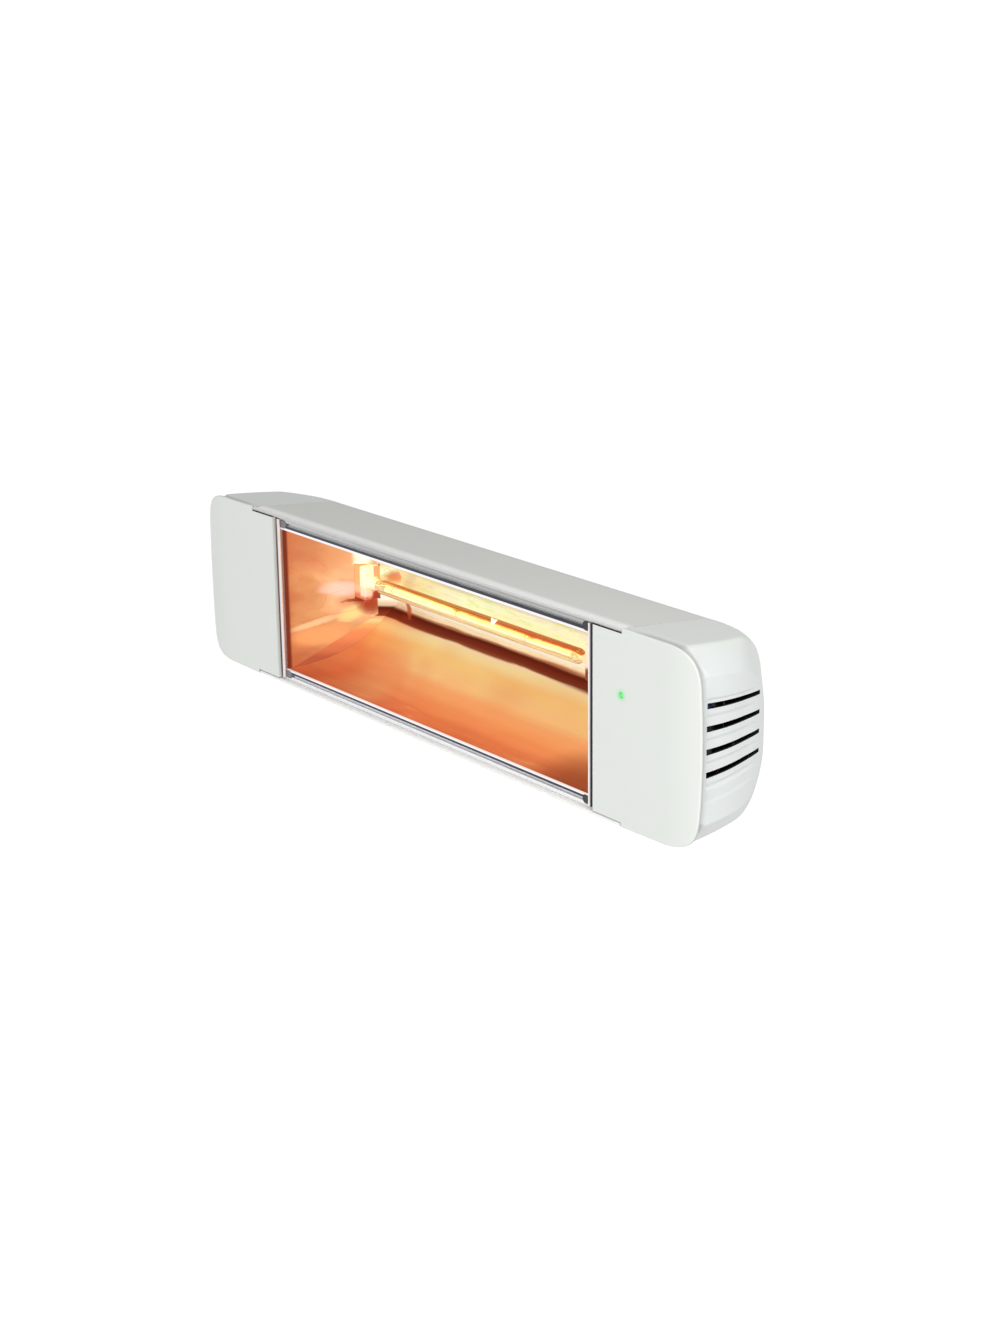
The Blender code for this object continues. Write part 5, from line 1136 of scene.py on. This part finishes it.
def body_form(side, shell, front_u, seam_x, fine):
    """Loft the cap's rear body and close its bowed side with a grid that carries the pocket."""
    sections = [body_ring(x, drop, pull, shell, front_u, fine) for x, drop, pull in cap_stations(fine)]
    sections[0] = [(seam_x, u, z) for _, u, z in sections[0]]
    bm = bmesh.new()
    rings = [[bm.verts.new(p) for p in section] for section in sections]
    add_bands(bm, rings, True)
    bm.faces.new(rings[0])
    rim = rings[-1]
    half = len(rim) // 2
    rows = 170 if fine else 2
    columns = []
    for i in range(half):
        top, bottom = rim[i], rim[-1 - i]
        column = [top]
        for k in range(1, rows):
            spot = top.co.lerp(bottom.co, k / rows)
            if fine:
                spot.x -= pocket_depth(spot.y, spot.z)
            column.append(bm.verts.new(spot))
        columns.append(column + [bottom])
    add_bands(bm, columns, False)
    bmesh.ops.triangulate(bm, faces=[f for f in bm.faces if len(f.verts) == 4])
    to_side(bm, side)
    return form(bm)


def slot_form(side):
    """Cutter for the through slots: a tapered blade with a slanted front end for each louvre."""
    bm = bmesh.new()
    inner = SIDE_X - side_bow(LOUVRE_REAR_U) - CAP_WALL - SLOT_INWARD
    for row in range(LOUVRE_COUNT):
        upper, lower = [], []
        for i in range(15):
            t = i / 14
            u = LOUVRE_FRONT_U + t * (LOUVRE_REAR_U - LOUVRE_FRONT_U)
            half = LOUVRE_SLOT * (0.5 - SLOT_TAPER * t)
            upper.append((u, louvre_z(row, u) + half))
            lower.append((u, louvre_z(row, u) - half))
        add_prism(bm, upper + lower[::-1], "X", inner, SIDE_X + SLOT_OUTWARD)
    to_side(bm, side)
    return form(bm)


def two_looks(made, *looks):
    for look in looks:
        made.data.materials.append(look)
    return made


def shadowed(cutter):
    """Let the faces that a cutter leaves take the cap's second look, the near-black painted shade."""
    for face in cutter.data.polygons:
        face.material_index = 1
    return two_looks(cutter, LOOKS["cap_plastic"], SHADOWED)


def mark_tongue(cap):
    """Shadow the edges of the plate's tongue that face the housing's wall."""
    level = top_line(0.0, HOUSING_WALL) - TONGUE_GAP
    for face in cap.data.polygons:
        x, _, z = face.center
        if abs(abs(z) - level) < 0.00005 and abs(x) < SEAM_X:
            face.material_index = 1


def make_cap(side, word):
    cap = two_looks(plate_form(side), LOOKS["cap_plastic"], SHADOWED)
    combine(cap, body_form(side, 0.0, BODY_FRONT_U, SEAM_X, True), "UNION")
    combine(cap, shadowed(body_form(side, CAP_WALL, PLATE_THICKNESS, SEAM_X - 0.001, False)))
    for z in (-CAP_SCREW_Z, CAP_SCREW_Z):
        outline = polygon(CAP_PAD_RADIUS, (side * CAP_SCREW_X, z), 40, PAD_PHASE)
        combine(cap, prism_form(outline, "Y", CAP_TAB_U + GAP, SEAT_U), "UNION")
        spot = (side * CAP_SCREW_X, SEAT_U, z)
        combine(cap, rod_form(CAP_SCREW_RADIUS + GAP, *THROUGH, spot, BACKWARD, 24))
    if side > 0:
        combine(cap, rod_form(LED_RADIUS + GAP, -0.002, 0.007, (LED_X, 0, LED_Z), BACKWARD, 32))
    else:
        spot = (GLAND_X, SEAT_U, 0.0)
        outline = polygon(GLAND_BOSS_RADIUS, (GLAND_X, 0.0), 64, PAD_PHASE)
        low = SEAT_U - GLAND_WALL - GLAND_NUT - 2 * GAP
        combine(cap, prism_form(outline, "Y", low, SEAT_U), "UNION")
        well = GLAND_BOSS_RADIUS - GLAND_BOSS_WALL
        combine(cap, rod_form(well, -0.030, -GLAND_WALL, spot, BACKWARD))
        combine(cap, rod_form(GLAND_THREAD + GAP, *THROUGH, spot, BACKWARD))
    combine(cap, shadowed(slot_form(side)))
    mark_tongue(cap)
    piece(cap, word + "_cap_shell", "cap_plastic", [word + "_end_cap"],
          INDICATOR_CAP if side > 0 else None, smooth=28.0, looks=[SHADOWED])


# Housing
EDGE_RUN = 0.0100
EDGE_DROP = 0.0012
EDGE_ROUND = 0.0010
EDGE_STATIONS = (0.01, 0.03, 0.05, 0.075, 0.1, 0.15, 0.22, 0.3, 0.4, 0.5, 0.62, 0.75, 0.88, 1.0)


def edge_drop(u):
    """How far the housing's outer faces are rounded over towards its front."""
    wide = EDGE_DROP * max(0.0, 1 - u / EDGE_RUN) ** 2
    tight = max(0.0, EDGE_ROUND - u)
    return wide + 0.3 * (EDGE_ROUND - math.sqrt(EDGE_ROUND ** 2 - tight ** 2))


def make_housing():
    """The extrusion's exact section, with its front edges rounded over."""
    bm = bmesh.new()
    bm.from_mesh(NODES["housing"].data)
    bm.transform(Matrix.Translation((0, -FRONT_Y, 0)) @ NODES["housing"].matrix_world)
    bmesh.ops.remove_doubles(bm, verts=bm.verts, dist=JOIN_REACH)
    for share in EDGE_STATIONS:
        cut_across(bm, (0, share * EDGE_RUN, 0), (0, 1, 0), JOIN_REACH)
    for vert in bm.verts:
        outer = abs(abs(vert.co.z) - top_line(vert.co.y)) < 0.00003
        if outer and vert.co.y < EDGE_RUN:
            vert.co.z -= math.copysign(edge_drop(vert.co.y), vert.co.z)
    piece(form(bm), "housing_shell", "housing_paint", ["housing"])


# Reflector
HEM_DROP = 0.0015
LOWER_HEM = 0.0005


def trough_profile():
    """Upper edge to lower edge of the trough's middle surface, in (u, z)."""
    front, mouth, back = MIRROR_FRONT_U, MIRROR_MOUTH_HALF, MIRROR_BACK_U
    middle = MIRROR_SHEET / 2
    ceiling = [(front, mouth - middle), (back - 0.020, mouth - 0.005), (back - 0.003, LAMP_Z + 0.014)]
    wing = [(back - 0.008, LAMP_Z - 0.023), (back - 0.022, LAMP_Z - 0.052), (front, middle - mouth)]
    rear = [(back, LAMP_Z + 0.005), (back, LAMP_Z - 0.005), (back - 0.002, LAMP_Z - 0.015)]
    return curve(ceiling) + rear + curve(wing)


def mirror_end_x(u):
    return MIRROR_LENGTH / 2 - (u - MIRROR_FRONT_U) * MIRROR_END_SLOPE


def end_normal(side):
    return Vector((side, MIRROR_END_SLOPE, 0)).normalized()


def plug_notches(sides):
    """Cutters that clear the rail plugs."""
    for side in sides:
        for z in (PLUG_Z, -PLUG_Z):
            x = side * RAIL_LENGTH / 2
            half = PLUG_HALF_HEIGHT + GAP
            reach = PLUG_LENGTH + GAP - half
            right = arc((x + reach, z), half, -math.pi / 2, math.pi / 2, 12)
            left = arc((x - reach, z), half, math.pi / 2, 1.5 * math.pi, 12)
            yield prism_form(right + left, "Y", 0.0, PLUG_FRONT_U + PLUG_DEPTH + GAP)


def make_trough():
    """One bent sheet with its edge flanges; its stations along X keep the long faces even."""
    flange = MIRROR_MOUTH_HALF + MIRROR_FLANGE
    profile = [(MIRROR_FRONT_U, flange)] + trough_profile() + [(MIRROR_FRONT_U, -flange)]
    stations = 24
    bm = bmesh.new()
    rows = []
    for u, z in profile:
        x = mirror_end_x(u) - 2 * GAP
        rows.append([bm.verts.new((x * (2 * i / stations - 1), u, z)) for i in range(stations + 1)])
    add_bands(bm, rows, False)
    made = sheet(bm, "trough")
    thicken = made.modifiers.new("sheet", "SOLIDIFY")
    thicken.thickness = MIRROR_SHEET
    thicken.offset = 0.0
    thicken.use_even_offset = True
    half = mirror_end_x(MIRROR_FRONT_U) - 2 * GAP
    for sign in (1, -1):
        low = MIRROR_MOUTH_HALF - (HEM_DROP if sign > 0 else LOWER_HEM)
        high = MIRROR_MOUTH_HALF + 0.0006
        hem = [(-0.0004, low + 0.0003), (-0.0001, low), (0.0005, low), (0.0008, low + 0.0003),
               (0.0008, high), (-0.0004, high)]
        hem = [(MIRROR_FRONT_U + u, sign * z) for u, z in hem]
        combine(made, prism_form(hem, "X", -half, half), "UNION")
    for notch in plug_notches((1, -1)):
        combine(made, notch)
    piece(made, "trough_sheet", "mirror_aluminium", ["reflector_trough"], smooth=20.0)


def holder_box(side, gap):
    low, high = span(side, HOLDER_FACE_X - gap, HOLDER_FACE_X + HOLDER_LENGTH + gap)
    low_z = LAMP_Z - 0.48 * HOLDER_HEIGHT - gap
    high_z = low_z + HOLDER_HEIGHT + 2 * gap
    return (low, LAMP_U - HOLDER_WIDTH / 2 - gap, low_z), (high, LAMP_U + HOLDER_WIDTH / 2 + gap, high_z)


def rivet_place(side):
    return Vector((side * mirror_end_x(RIVET_U), RIVET_U, LAMP_Z + RIVET_ABOVE_LAMP))


def make_mirror_end(side, word):
    front = MIRROR_FRONT_U + MIRROR_SHEET / 2 + 0.0004
    edge = MIRROR_MOUTH_HALF - MIRROR_SHEET / 2
    profile = [(front, edge)] + [p for p in trough_profile() if p[0] > front] + [(front, -edge)]
    shift = end_normal(side) * MIRROR_SHEET
    bm = bmesh.new()
    face = [Vector((side * mirror_end_x(u), u, z)) for u, z in profile]
    add_block(bm, face, [point + shift for point in face])
    made = form(bm)
    combine(made, box_form(*holder_box(side, 0.0004)))
    combine(made, rod_form(RIVET_RADIUS + GAP, -0.004, 0.006, rivet_place(side), end_normal(side), 20))
    for notch in plug_notches((side,)):
        combine(made, notch)
    piece(made, word + "_mirror_end", "mirror_aluminium", [word + "_reflector_end"], MIRROR_END, smooth=20.0)


# Lamp
SUPPORT_PLACES = (-0.085, -0.016, 0.053)
TAPER_LENGTH = 0.007
COIL_RADIUS = 0.0010
COIL_WIRE = 0.00022
COIL_PITCH = 0.00085
SUPPORT_WIRE = 0.00035
NIPPLE_X = 0.0212
COIL_INSET = 0.011
TAIL_INSET = 0.003
SUPPORT_TURNS = 1.8
SUPPORT_LENGTH = 0.0030


def tube_profile(radius, end, tip):
    """Half of a tube's wall line: straight, then drawn in to its pinched end."""
    points = [(radius, i * (end - TAPER_LENGTH) / 8) for i in range(9)]
    for i in range(1, 9):
        t = i / 8
        points.append((radius + (tip - radius) * smoothstep(t), end - TAPER_LENGTH + TAPER_LENGTH * t))
    return points


def make_tube():
    """Hollow quartz tube with pinched ends and its sealing tip."""
    bm = bmesh.new()
    for radius, end, tip in ((TUBE_RADIUS, TUBE_END_X, 0.0030),
                             (TUBE_RADIUS - TUBE_WALL, TUBE_END_X - 0.002, 0.0016)):
        half = tube_profile(radius, end, tip)
        profile = [(0, end)] + half[::-1] + [(r, -h) for r, h in half[1:]] + [(0, -end)]
        add_turned(bm, profile, (0, LAMP_U, LAMP_Z), (1, 0, 0), 48)
    glass = two_looks(form(bm), LOOKS["quartz"], QUARTZ_TIP_PAINTED_GLOW)
    nipple = [(0, 0.0032), (0.0004, 0.0031), (0.0007, 0.0026), (0.0010, 0.0018), (0.0014, 0.0009),
              (0.0020, 0.0002), (0.0026, -0.0005), (0, -0.0005)]
    up = Vector((0, -0.62, 1)).normalized()
    spot = Vector((NIPPLE_X, LAMP_U, LAMP_Z)) + up * TUBE_RADIUS
    tip = two_looks(turned_form(nipple, spot, up, 24), LOOKS["quartz"], QUARTZ_TIP_PAINTED_GLOW)
    # The sealing tip takes the painted glow of the filament's light.
    for face in tip.data.polygons:
        face.material_index = 1
    combine(glass, tip, "UNION")
    piece(glass, "quartz_tube", "quartz", ["lamp_tube"], smooth=50.0, looks=[QUARTZ_TIP_PAINTED_GLOW])


def round_lamp(x, radius, angle):
    """A point at an angle round the lamp's axis."""
    return Vector((x, LAMP_U + radius * math.sin(angle), LAMP_Z + radius * math.cos(angle)))


def make_filament():
    """Coiled wire on the lamp's axis, with straight tails into both ends."""
    bm = bmesh.new()
    coil_end = TUBE_END_X - COIL_INSET
    turns = round(2 * coil_end / COIL_PITCH)
    sides = 9
    points = [Vector((-TUBE_END_X + TAIL_INSET, LAMP_U, LAMP_Z))]
    for i in range(turns * sides + 1):
        angle = math.tau * i / sides
        points.append(round_lamp(-coil_end + 2 * coil_end * i / (turns * sides), COIL_RADIUS, angle))
    points.append(Vector((TUBE_END_X - TAIL_INSET, LAMP_U, LAMP_Z)))
    add_tube(bm, points, COIL_WIRE, 5)
    piece(form(bm), "filament_coil", "tungsten", ["lamp_filament"], smooth=60.0)


def make_supports():
    """Open wire spirals that keep the filament in the middle of the tube."""
    bm = bmesh.new()
    for x in SUPPORT_PLACES:
        points = []
        for i in range(45):
            t = i / 44
            angle = math.tau * SUPPORT_TURNS * t
            radius = COIL_RADIUS + 0.0003 + (TUBE_RADIUS - TUBE_WALL - COIL_RADIUS - 0.0008) * min(1.0, 3 * t)
            points.append(round_lamp(x + SUPPORT_LENGTH * (t - 0.5), radius, angle))
        add_tube(bm, points, SUPPORT_WIRE, 7)
    # The support wires take a painted glow of the filament's light.
    piece(form(bm), "filament_supports", "tungsten", look=SUPPORT_WIRE_PAINTED_GLOW, smooth=60.0)


def make_lamp_bases():
    """Ceramic lamp ends: a waisted sleeve with a step where it enters its holder."""
    profile = [(0, 0), (0.0031, 0), (0.0034, 0.0004), (0.0036, 0.0016), (0.0039, 0.0026),
               (BASE_RADIUS, 0.0040), (BASE_RADIUS, BASE_LENGTH - 0.0012),
               (0.9 * BASE_RADIUS, BASE_LENGTH - 0.0003), (0.78 * BASE_RADIUS, BASE_LENGTH), (0, BASE_LENGTH)]
    for side, word in SIDES:
        sleeve = turned_form(profile, (side * (TUBE_END_X + GAP), LAMP_U, LAMP_Z), (side, 0, 0), 40)
        piece(sleeve, word + "_base_sleeve", "ceramic", [word + "_lamp_base"])


def make_holders():
    """Steatite sockets with rounded edges, a stepped face and a split for the clamping spring."""
    for side, word in SIDES:
        bm = bmesh.new()
        add_box(bm, *holder_box(side, 0.0))
        round_edges(bm, bm.edges[:], 0.0012, 4)
        holder = form(bm)
        face = (side * HOLDER_FACE_X, LAMP_U, LAMP_Z)
        along = (side, 0, 0)
        combine(holder, rod_form(BASE_RADIUS + GAP, -0.002, 0.012, face, along))
        combine(holder, rod_form(BASE_RADIUS + 0.0012, -0.002, 0.0008, face, along))
        combine(holder, rod_form(LEAD_RADIUS + GAP, 0.011, HOLDER_LENGTH + 0.002, face, along, 24))
        low, high = span(side, HOLDER_FACE_X - 0.001, HOLDER_FACE_X + 0.004)
        combine(holder, box_form((low, LAMP_U - 0.0007, LAMP_Z + 0.003), (high, LAMP_U + 0.0007, 0.05)))
        for facet in holder.data.polygons:
            facet.material_index = 1 if side * facet.normal.x < -0.6 else 0
        piece(holder, word + "_socket_block", "ceramic", [word + "_lamp_holder"], looks=[SOCKET_FACE])


# Fasteners
SCREW_PITCH = 0.0007
BOLT_PITCH = 0.00125
BOLT_THREAD = 0.0005


def recess_bars(spot, axis, radius, depth, top):
    """Two crossing tapered bars, one after the other, that leave a driver recess in a screw's head."""
    move = upright_on(spot, axis)
    thin = 0.30 * radius
    for long_x, long_y in ((radius, thin), (thin, radius)):
        bm = bmesh.new()
        ends = []
        for height, share in ((top - depth, 0.45), (top + 0.001, 1.1)):
            half_x, half_y = (long_x * share, long_y) if long_x > long_y else (long_x, long_y * share)
            ends.append([move @ Vector((sx * half_x, sy * half_y, height))
                         for sx, sy in ((-1, -1), (1, -1), (1, 1), (-1, 1))])
        add_block(bm, *ends)
        yield form(bm)


def head_place(node, axis, head_height):
    """Where a screw's head starts, from the node's box: its middle, and its end along the axis."""
    low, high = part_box(node)
    middle = (low + high) / 2
    middle.y -= FRONT_Y
    place = list(middle)
    along = 1 if axis[1] else 0
    end = (high if axis[along] > 0 else low)[along] - (FRONT_Y if along else 0.0)
    place[along] = end - axis[along] * head_height
    return Vector(place)


def make_screw(word, axis, shank, head, length, head_height, slot="zinc_steel"):
    """Pan-head screw with a threaded shank and a cross recess."""
    thread = 0.10 * shank
    thread_start = -length + 0.6 * shank
    profile = [(0, -length), (0.55 * shank, -length), (shank - thread, thread_start)]
    for i in range(max(1, int((length - 0.6 * shank - 0.0008) / SCREW_PITCH))):
        low = thread_start + i * SCREW_PITCH
        profile += [(shank - thread, low + 0.15 * SCREW_PITCH), (shank, low + 0.5 * SCREW_PITCH),
                    (shank - thread, low + 0.85 * SCREW_PITCH)]
    profile += [(shank, 0), (head - 0.0001, 0), (head, 0.0001)]
    profile += [(head * (0.35 + 0.65 * cos), head_height * (0.40 + 0.60 * sin)) for sin, cos in quarter(6)]
    profile.append((0, head_height))
    node = word + "_screw"
    spot = head_place(node, axis, head_height)
    screw = turned_form(profile, spot, axis, 36)
    for bar in recess_bars(spot, axis, 0.52 * head, 0.55 * head_height, head_height):
        combine(screw, bar)
    piece(screw, word + "_fixing", slot, [node], smooth=32.0)


def make_screws():
    """Every screw by its node: axis, shank radius, head radius, length and head height."""
    for side, word in SIDES:
        for level in ("upper", "lower"):
            make_screw(f"{word}_{level}_cap", BACKWARD, 0.0017, 0.0032, 0.0085, 0.0018)
            make_screw(f"{word}_{level}_plate", (side, 0, 0), 0.0012, 0.0029, 0.009, 0.0018)
        make_screw(f"{word}_yoke", BACKWARD, 0.0022, 0.0042, 0.0095, 0.0028)
    for word in ("inner", "outer"):
        make_screw(word + "_board", BACKWARD, 0.0011, 0.0024, 0.0060, 0.0013, "brass")


def hexagon_head(radius, centre_u, low, high, chamfer_side):
    """A hexagonal prism along X whose corners are chamfered by a cone on its outer face."""
    angle = math.pi / 6
    made = prism_form(polygon(radius, (centre_u, 0.0), 6, angle), "X", low, high)
    flat = radius * math.cos(angle)
    face = high if chamfer_side > 0 else low
    depth = high - low
    cone = [(0, -2 * depth), (2 * radius, -2 * depth), (2 * radius, -0.52 * (2 * radius - flat)),
            (flat * 0.98, 0), (0, 0)]
    return combine(made, turned_form(cone, (face, centre_u, 0), (chamfer_side, 0, 0), 60), "INTERSECT")


def make_pivot_hardware():
    """Bolt with a chamfered hexagon head and a rolled thread, and its nut."""
    pivot_u = -PIVOT_TO_WALL - FRONT_Y
    low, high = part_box("pivot_bolt")
    nut_low, nut_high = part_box("pivot_nut")
    head_radius = 1.85 * PIVOT_RADIUS
    head_in = low.x + 1.3 * PIVOT_RADIUS
    bolt = hexagon_head(head_radius, pivot_u, low.x, head_in, -1)
    profile = [(0, head_in - 0.001), (PIVOT_RADIUS, head_in - 0.001), (PIVOT_RADIUS, nut_low.x - 0.004)]
    root = PIVOT_RADIUS - BOLT_THREAD
    while profile[-1][1] + BOLT_PITCH < high.x - 0.0008:
        base = profile[-1][1]
        profile += [(root, base + 0.35 * BOLT_PITCH), (root, base + 0.5 * BOLT_PITCH),
                    (PIVOT_RADIUS, base + 0.9 * BOLT_PITCH), (PIVOT_RADIUS, base + BOLT_PITCH)]
    profile += [(PIVOT_RADIUS - 0.0009, high.x), (0, high.x)]
    axis = ((0, pivot_u, 0), (1, 0, 0))
    combine(bolt, turned_form(profile, *axis, 40), "UNION")
    piece(bolt, "pivot_bolt_fine", "zinc_steel", ["pivot_bolt"], body=WALL)
    nut = hexagon_head(head_radius, pivot_u, nut_low.x, nut_high.x, 1)
    combine(nut, rod_form(PIVOT_RADIUS + GAP, nut_low.x - 0.002, nut_high.x + 0.002, *axis))
    piece(nut, "pivot_nut_fine", "zinc_steel", ["pivot_nut"], body=WALL)


def make_rivets():
    """Rivets: a domed head in front and a rolled rim behind."""
    shank, head = RIVET_RADIUS, 2.1 * RIVET_RADIUS
    back = MIRROR_SHEET + 0.0012 + 2 * GAP
    profile = [(0, -0.0010)]
    profile += [(head * sin, -GAP - 0.0007 * cos) for sin, cos in quarter(6)[1:]]
    profile += [(shank, -GAP), (shank, back), (head * 0.9, back), (head, back + 0.0004),
                (head * 0.8, back + 0.0008), (shank * 0.7, back + 0.0006), (0, back + 0.0006)]
    for side, word in SIDES:
        rivet = turned_form(profile, rivet_place(side), end_normal(side), 28)
        # The rivets take the reflector end's look, its painted warm light and reflections.
        piece(rivet, word + "_rivet_fine", "zinc_steel", [word + "_holder_rivet"], MIRROR_END)


# Cable gland

def make_gland():
    """Body with a threaded stem, locknut, and a fluted dome nut."""
    axis = ((GLAND_X, SEAT_U, 0.0), BACKWARD)
    hexagon = polygon(GLAND_HEX / math.cos(math.pi / 6), (GLAND_X, 0.0), 6)
    bm = bmesh.new()
    add_prism(bm, hexagon, "Y", SEAT_U + GAP, SEAT_U + 0.0055)
    bmesh.ops.recalc_face_normals(bm, faces=bm.faces)
    round_edges(bm, bm.edges[:], 0.0004, 2)
    body = form(bm)
    profile = [(0, -0.0065)]
    for i in range(7):
        low = -0.0065 + 0.0009 * i
        profile += [(GLAND_THREAD - 0.0004, low + 0.0001), (GLAND_THREAD, low + 0.0005)]
    profile += [(GLAND_THREAD, 0.0105), (0, 0.0105)]
    combine(body, turned_form(profile, *axis, 56), "UNION")
    combine(body, rod_form(GLAND_BORE, -0.010, 0.015, *axis))
    piece(body, "gland_body_fine", "black_plastic", ["gland_body"])
    nut_back = SEAT_U - GLAND_WALL - GAP
    nut = prism_form(hexagon, "Y", nut_back - GLAND_NUT, nut_back)
    combine(nut, rod_form(GLAND_THREAD + GAP, *THROUGH, *axis))
    piece(nut, "gland_locknut_fine", "black_plastic", ["gland_locknut"])
    low = 0.0055 + GAP
    outer = GLAND_HEX
    profile = [(GLAND_THREAD + GAP, low), (outer - 0.0003, low), (outer, low + 0.0004), (outer, low + 0.0052)]
    for i in range(1, 11):
        t = i / 10
        height = low + 0.0052 + 0.0048 * math.sin(t * math.pi / 2)
        profile.append((outer - (outer - GLAND_BORE - 0.0006) * t ** 1.8, height))
    profile += [(GLAND_BORE, low + 0.0096), (GLAND_BORE, low + 0.0080), (GLAND_THREAD + GAP, low + 0.0060)]
    dome = turned_form(profile, *axis, 72)
    grooves = bmesh.new()
    for i in range(24):
        angle = math.tau * i / 24
        centre = (GLAND_X + (outer + 0.0001) * math.cos(angle), (outer + 0.0001) * math.sin(angle))
        add_prism(grooves, polygon(0.00055, centre, 10), "Y", SEAT_U + low + 0.0007, SEAT_U + low + 0.0058)
    combine(dome, form(grooves))
    piece(dome, "gland_cap_fine", "black_plastic", ["gland_cap"])


# Indicator

def make_indicator():
    """Domed lens whose stem reaches back to the board."""
    profile = [(0, 0.0001)]
    profile += [(LED_RADIUS * sin, 0.0010 - 0.0009 * cos) for sin, cos in quarter(8)[1:]]
    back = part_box("status_led")[1].y - FRONT_Y
    flange = 0.0070
    profile += [(LED_RADIUS, flange), (1.25 * LED_RADIUS, flange), (1.25 * LED_RADIUS, back), (0, back)]
    lens = turned_form(profile, (LED_X, 0, LED_Z), BACKWARD, 36)
    piece(lens, "indicator_lens", "indicator_green", ["status_led"])


# Camera, light and stage

def make_camera():
    """Turned by roll, pitch and yaw; the turned frame's rows are the camera's right, forward and up."""
    turns = [Matrix.Rotation(math.radians(angle), 3, axis) for angle, axis in CAMERA_TURNS]
    rows = turns[0] @ turns[1] @ turns[2]
    data = bpy.data.cameras.new("camera")
    data.sensor_width = CAMERA_SENSOR
    data.lens = CAMERA_LENS
    camera = place_object("camera", data)
    turned = Matrix((rows[0], rows[2], -rows[1])).transposed().to_4x4()
    camera.matrix_world = Matrix.Translation(CAMERA_PLACE) @ turned
    bpy.context.scene.camera = camera


def make_light(name, place, aim, size, power):
    data = bpy.data.lights.new(name, "AREA")
    data.shape = "SQUARE"
    data.size = size
    data.energy = power
    light = place_object(name, data)
    light.location = place
    light.rotation_euler = (Vector(aim) - Vector(place)).to_track_quat("-Z", "Y").to_euler()


def make_stage():
    """White world, a floor that looks white to the camera and in reflections, and two lights."""
    world = bpy.data.worlds.new("studio")
    bpy.context.scene.world = world
    world.use_nodes = True
    background = world.node_tree.nodes["Background"]
    background.inputs["Color"].default_value = (1, 1, 1, 1)
    background.inputs["Strength"].default_value = WORLD_STRENGTH

    bm = bmesh.new()
    bmesh.ops.create_circle(bm, cap_ends=True, radius=FLOOR_RADIUS, segments=96)
    floor = sheet(bm, "floor")
    floor.location = (0, 0, FLOOR_LEVEL)
    look = Look("floor_white")
    rays = add(look.tree, "ShaderNodeLightPath", {}).outputs
    seen = Value(rays["Is Camera Ray"]).at_least(Value(rays["Is Glossy Ray"]))
    seen = seen.at_least(Value(rays["Is Transmission Ray"]))
    look.set(Base_Color=FLOOR_GREY, Roughness=0.9, Emission_Color=(1, 1, 1),
             Emission_Strength=seen * FLOOR_GLOW)
    floor.data.materials.append(look.made)
    for light in LIGHTS:
        make_light(*light)


def main():
    bpy.context.scene.view_settings.view_transform = "Standard"
    make_camera()
    dress_nodes()
    for side, word in SIDES:
        make_cap(side, word)
        make_mirror_end(side, word)
    make_housing()
    make_trough()
    make_tube()
    make_filament()
    make_supports()
    make_lamp_bases()
    make_holders()
    make_screws()
    make_pivot_hardware()
    make_rivets()
    make_gland()
    make_indicator()
    make_stage()


main()
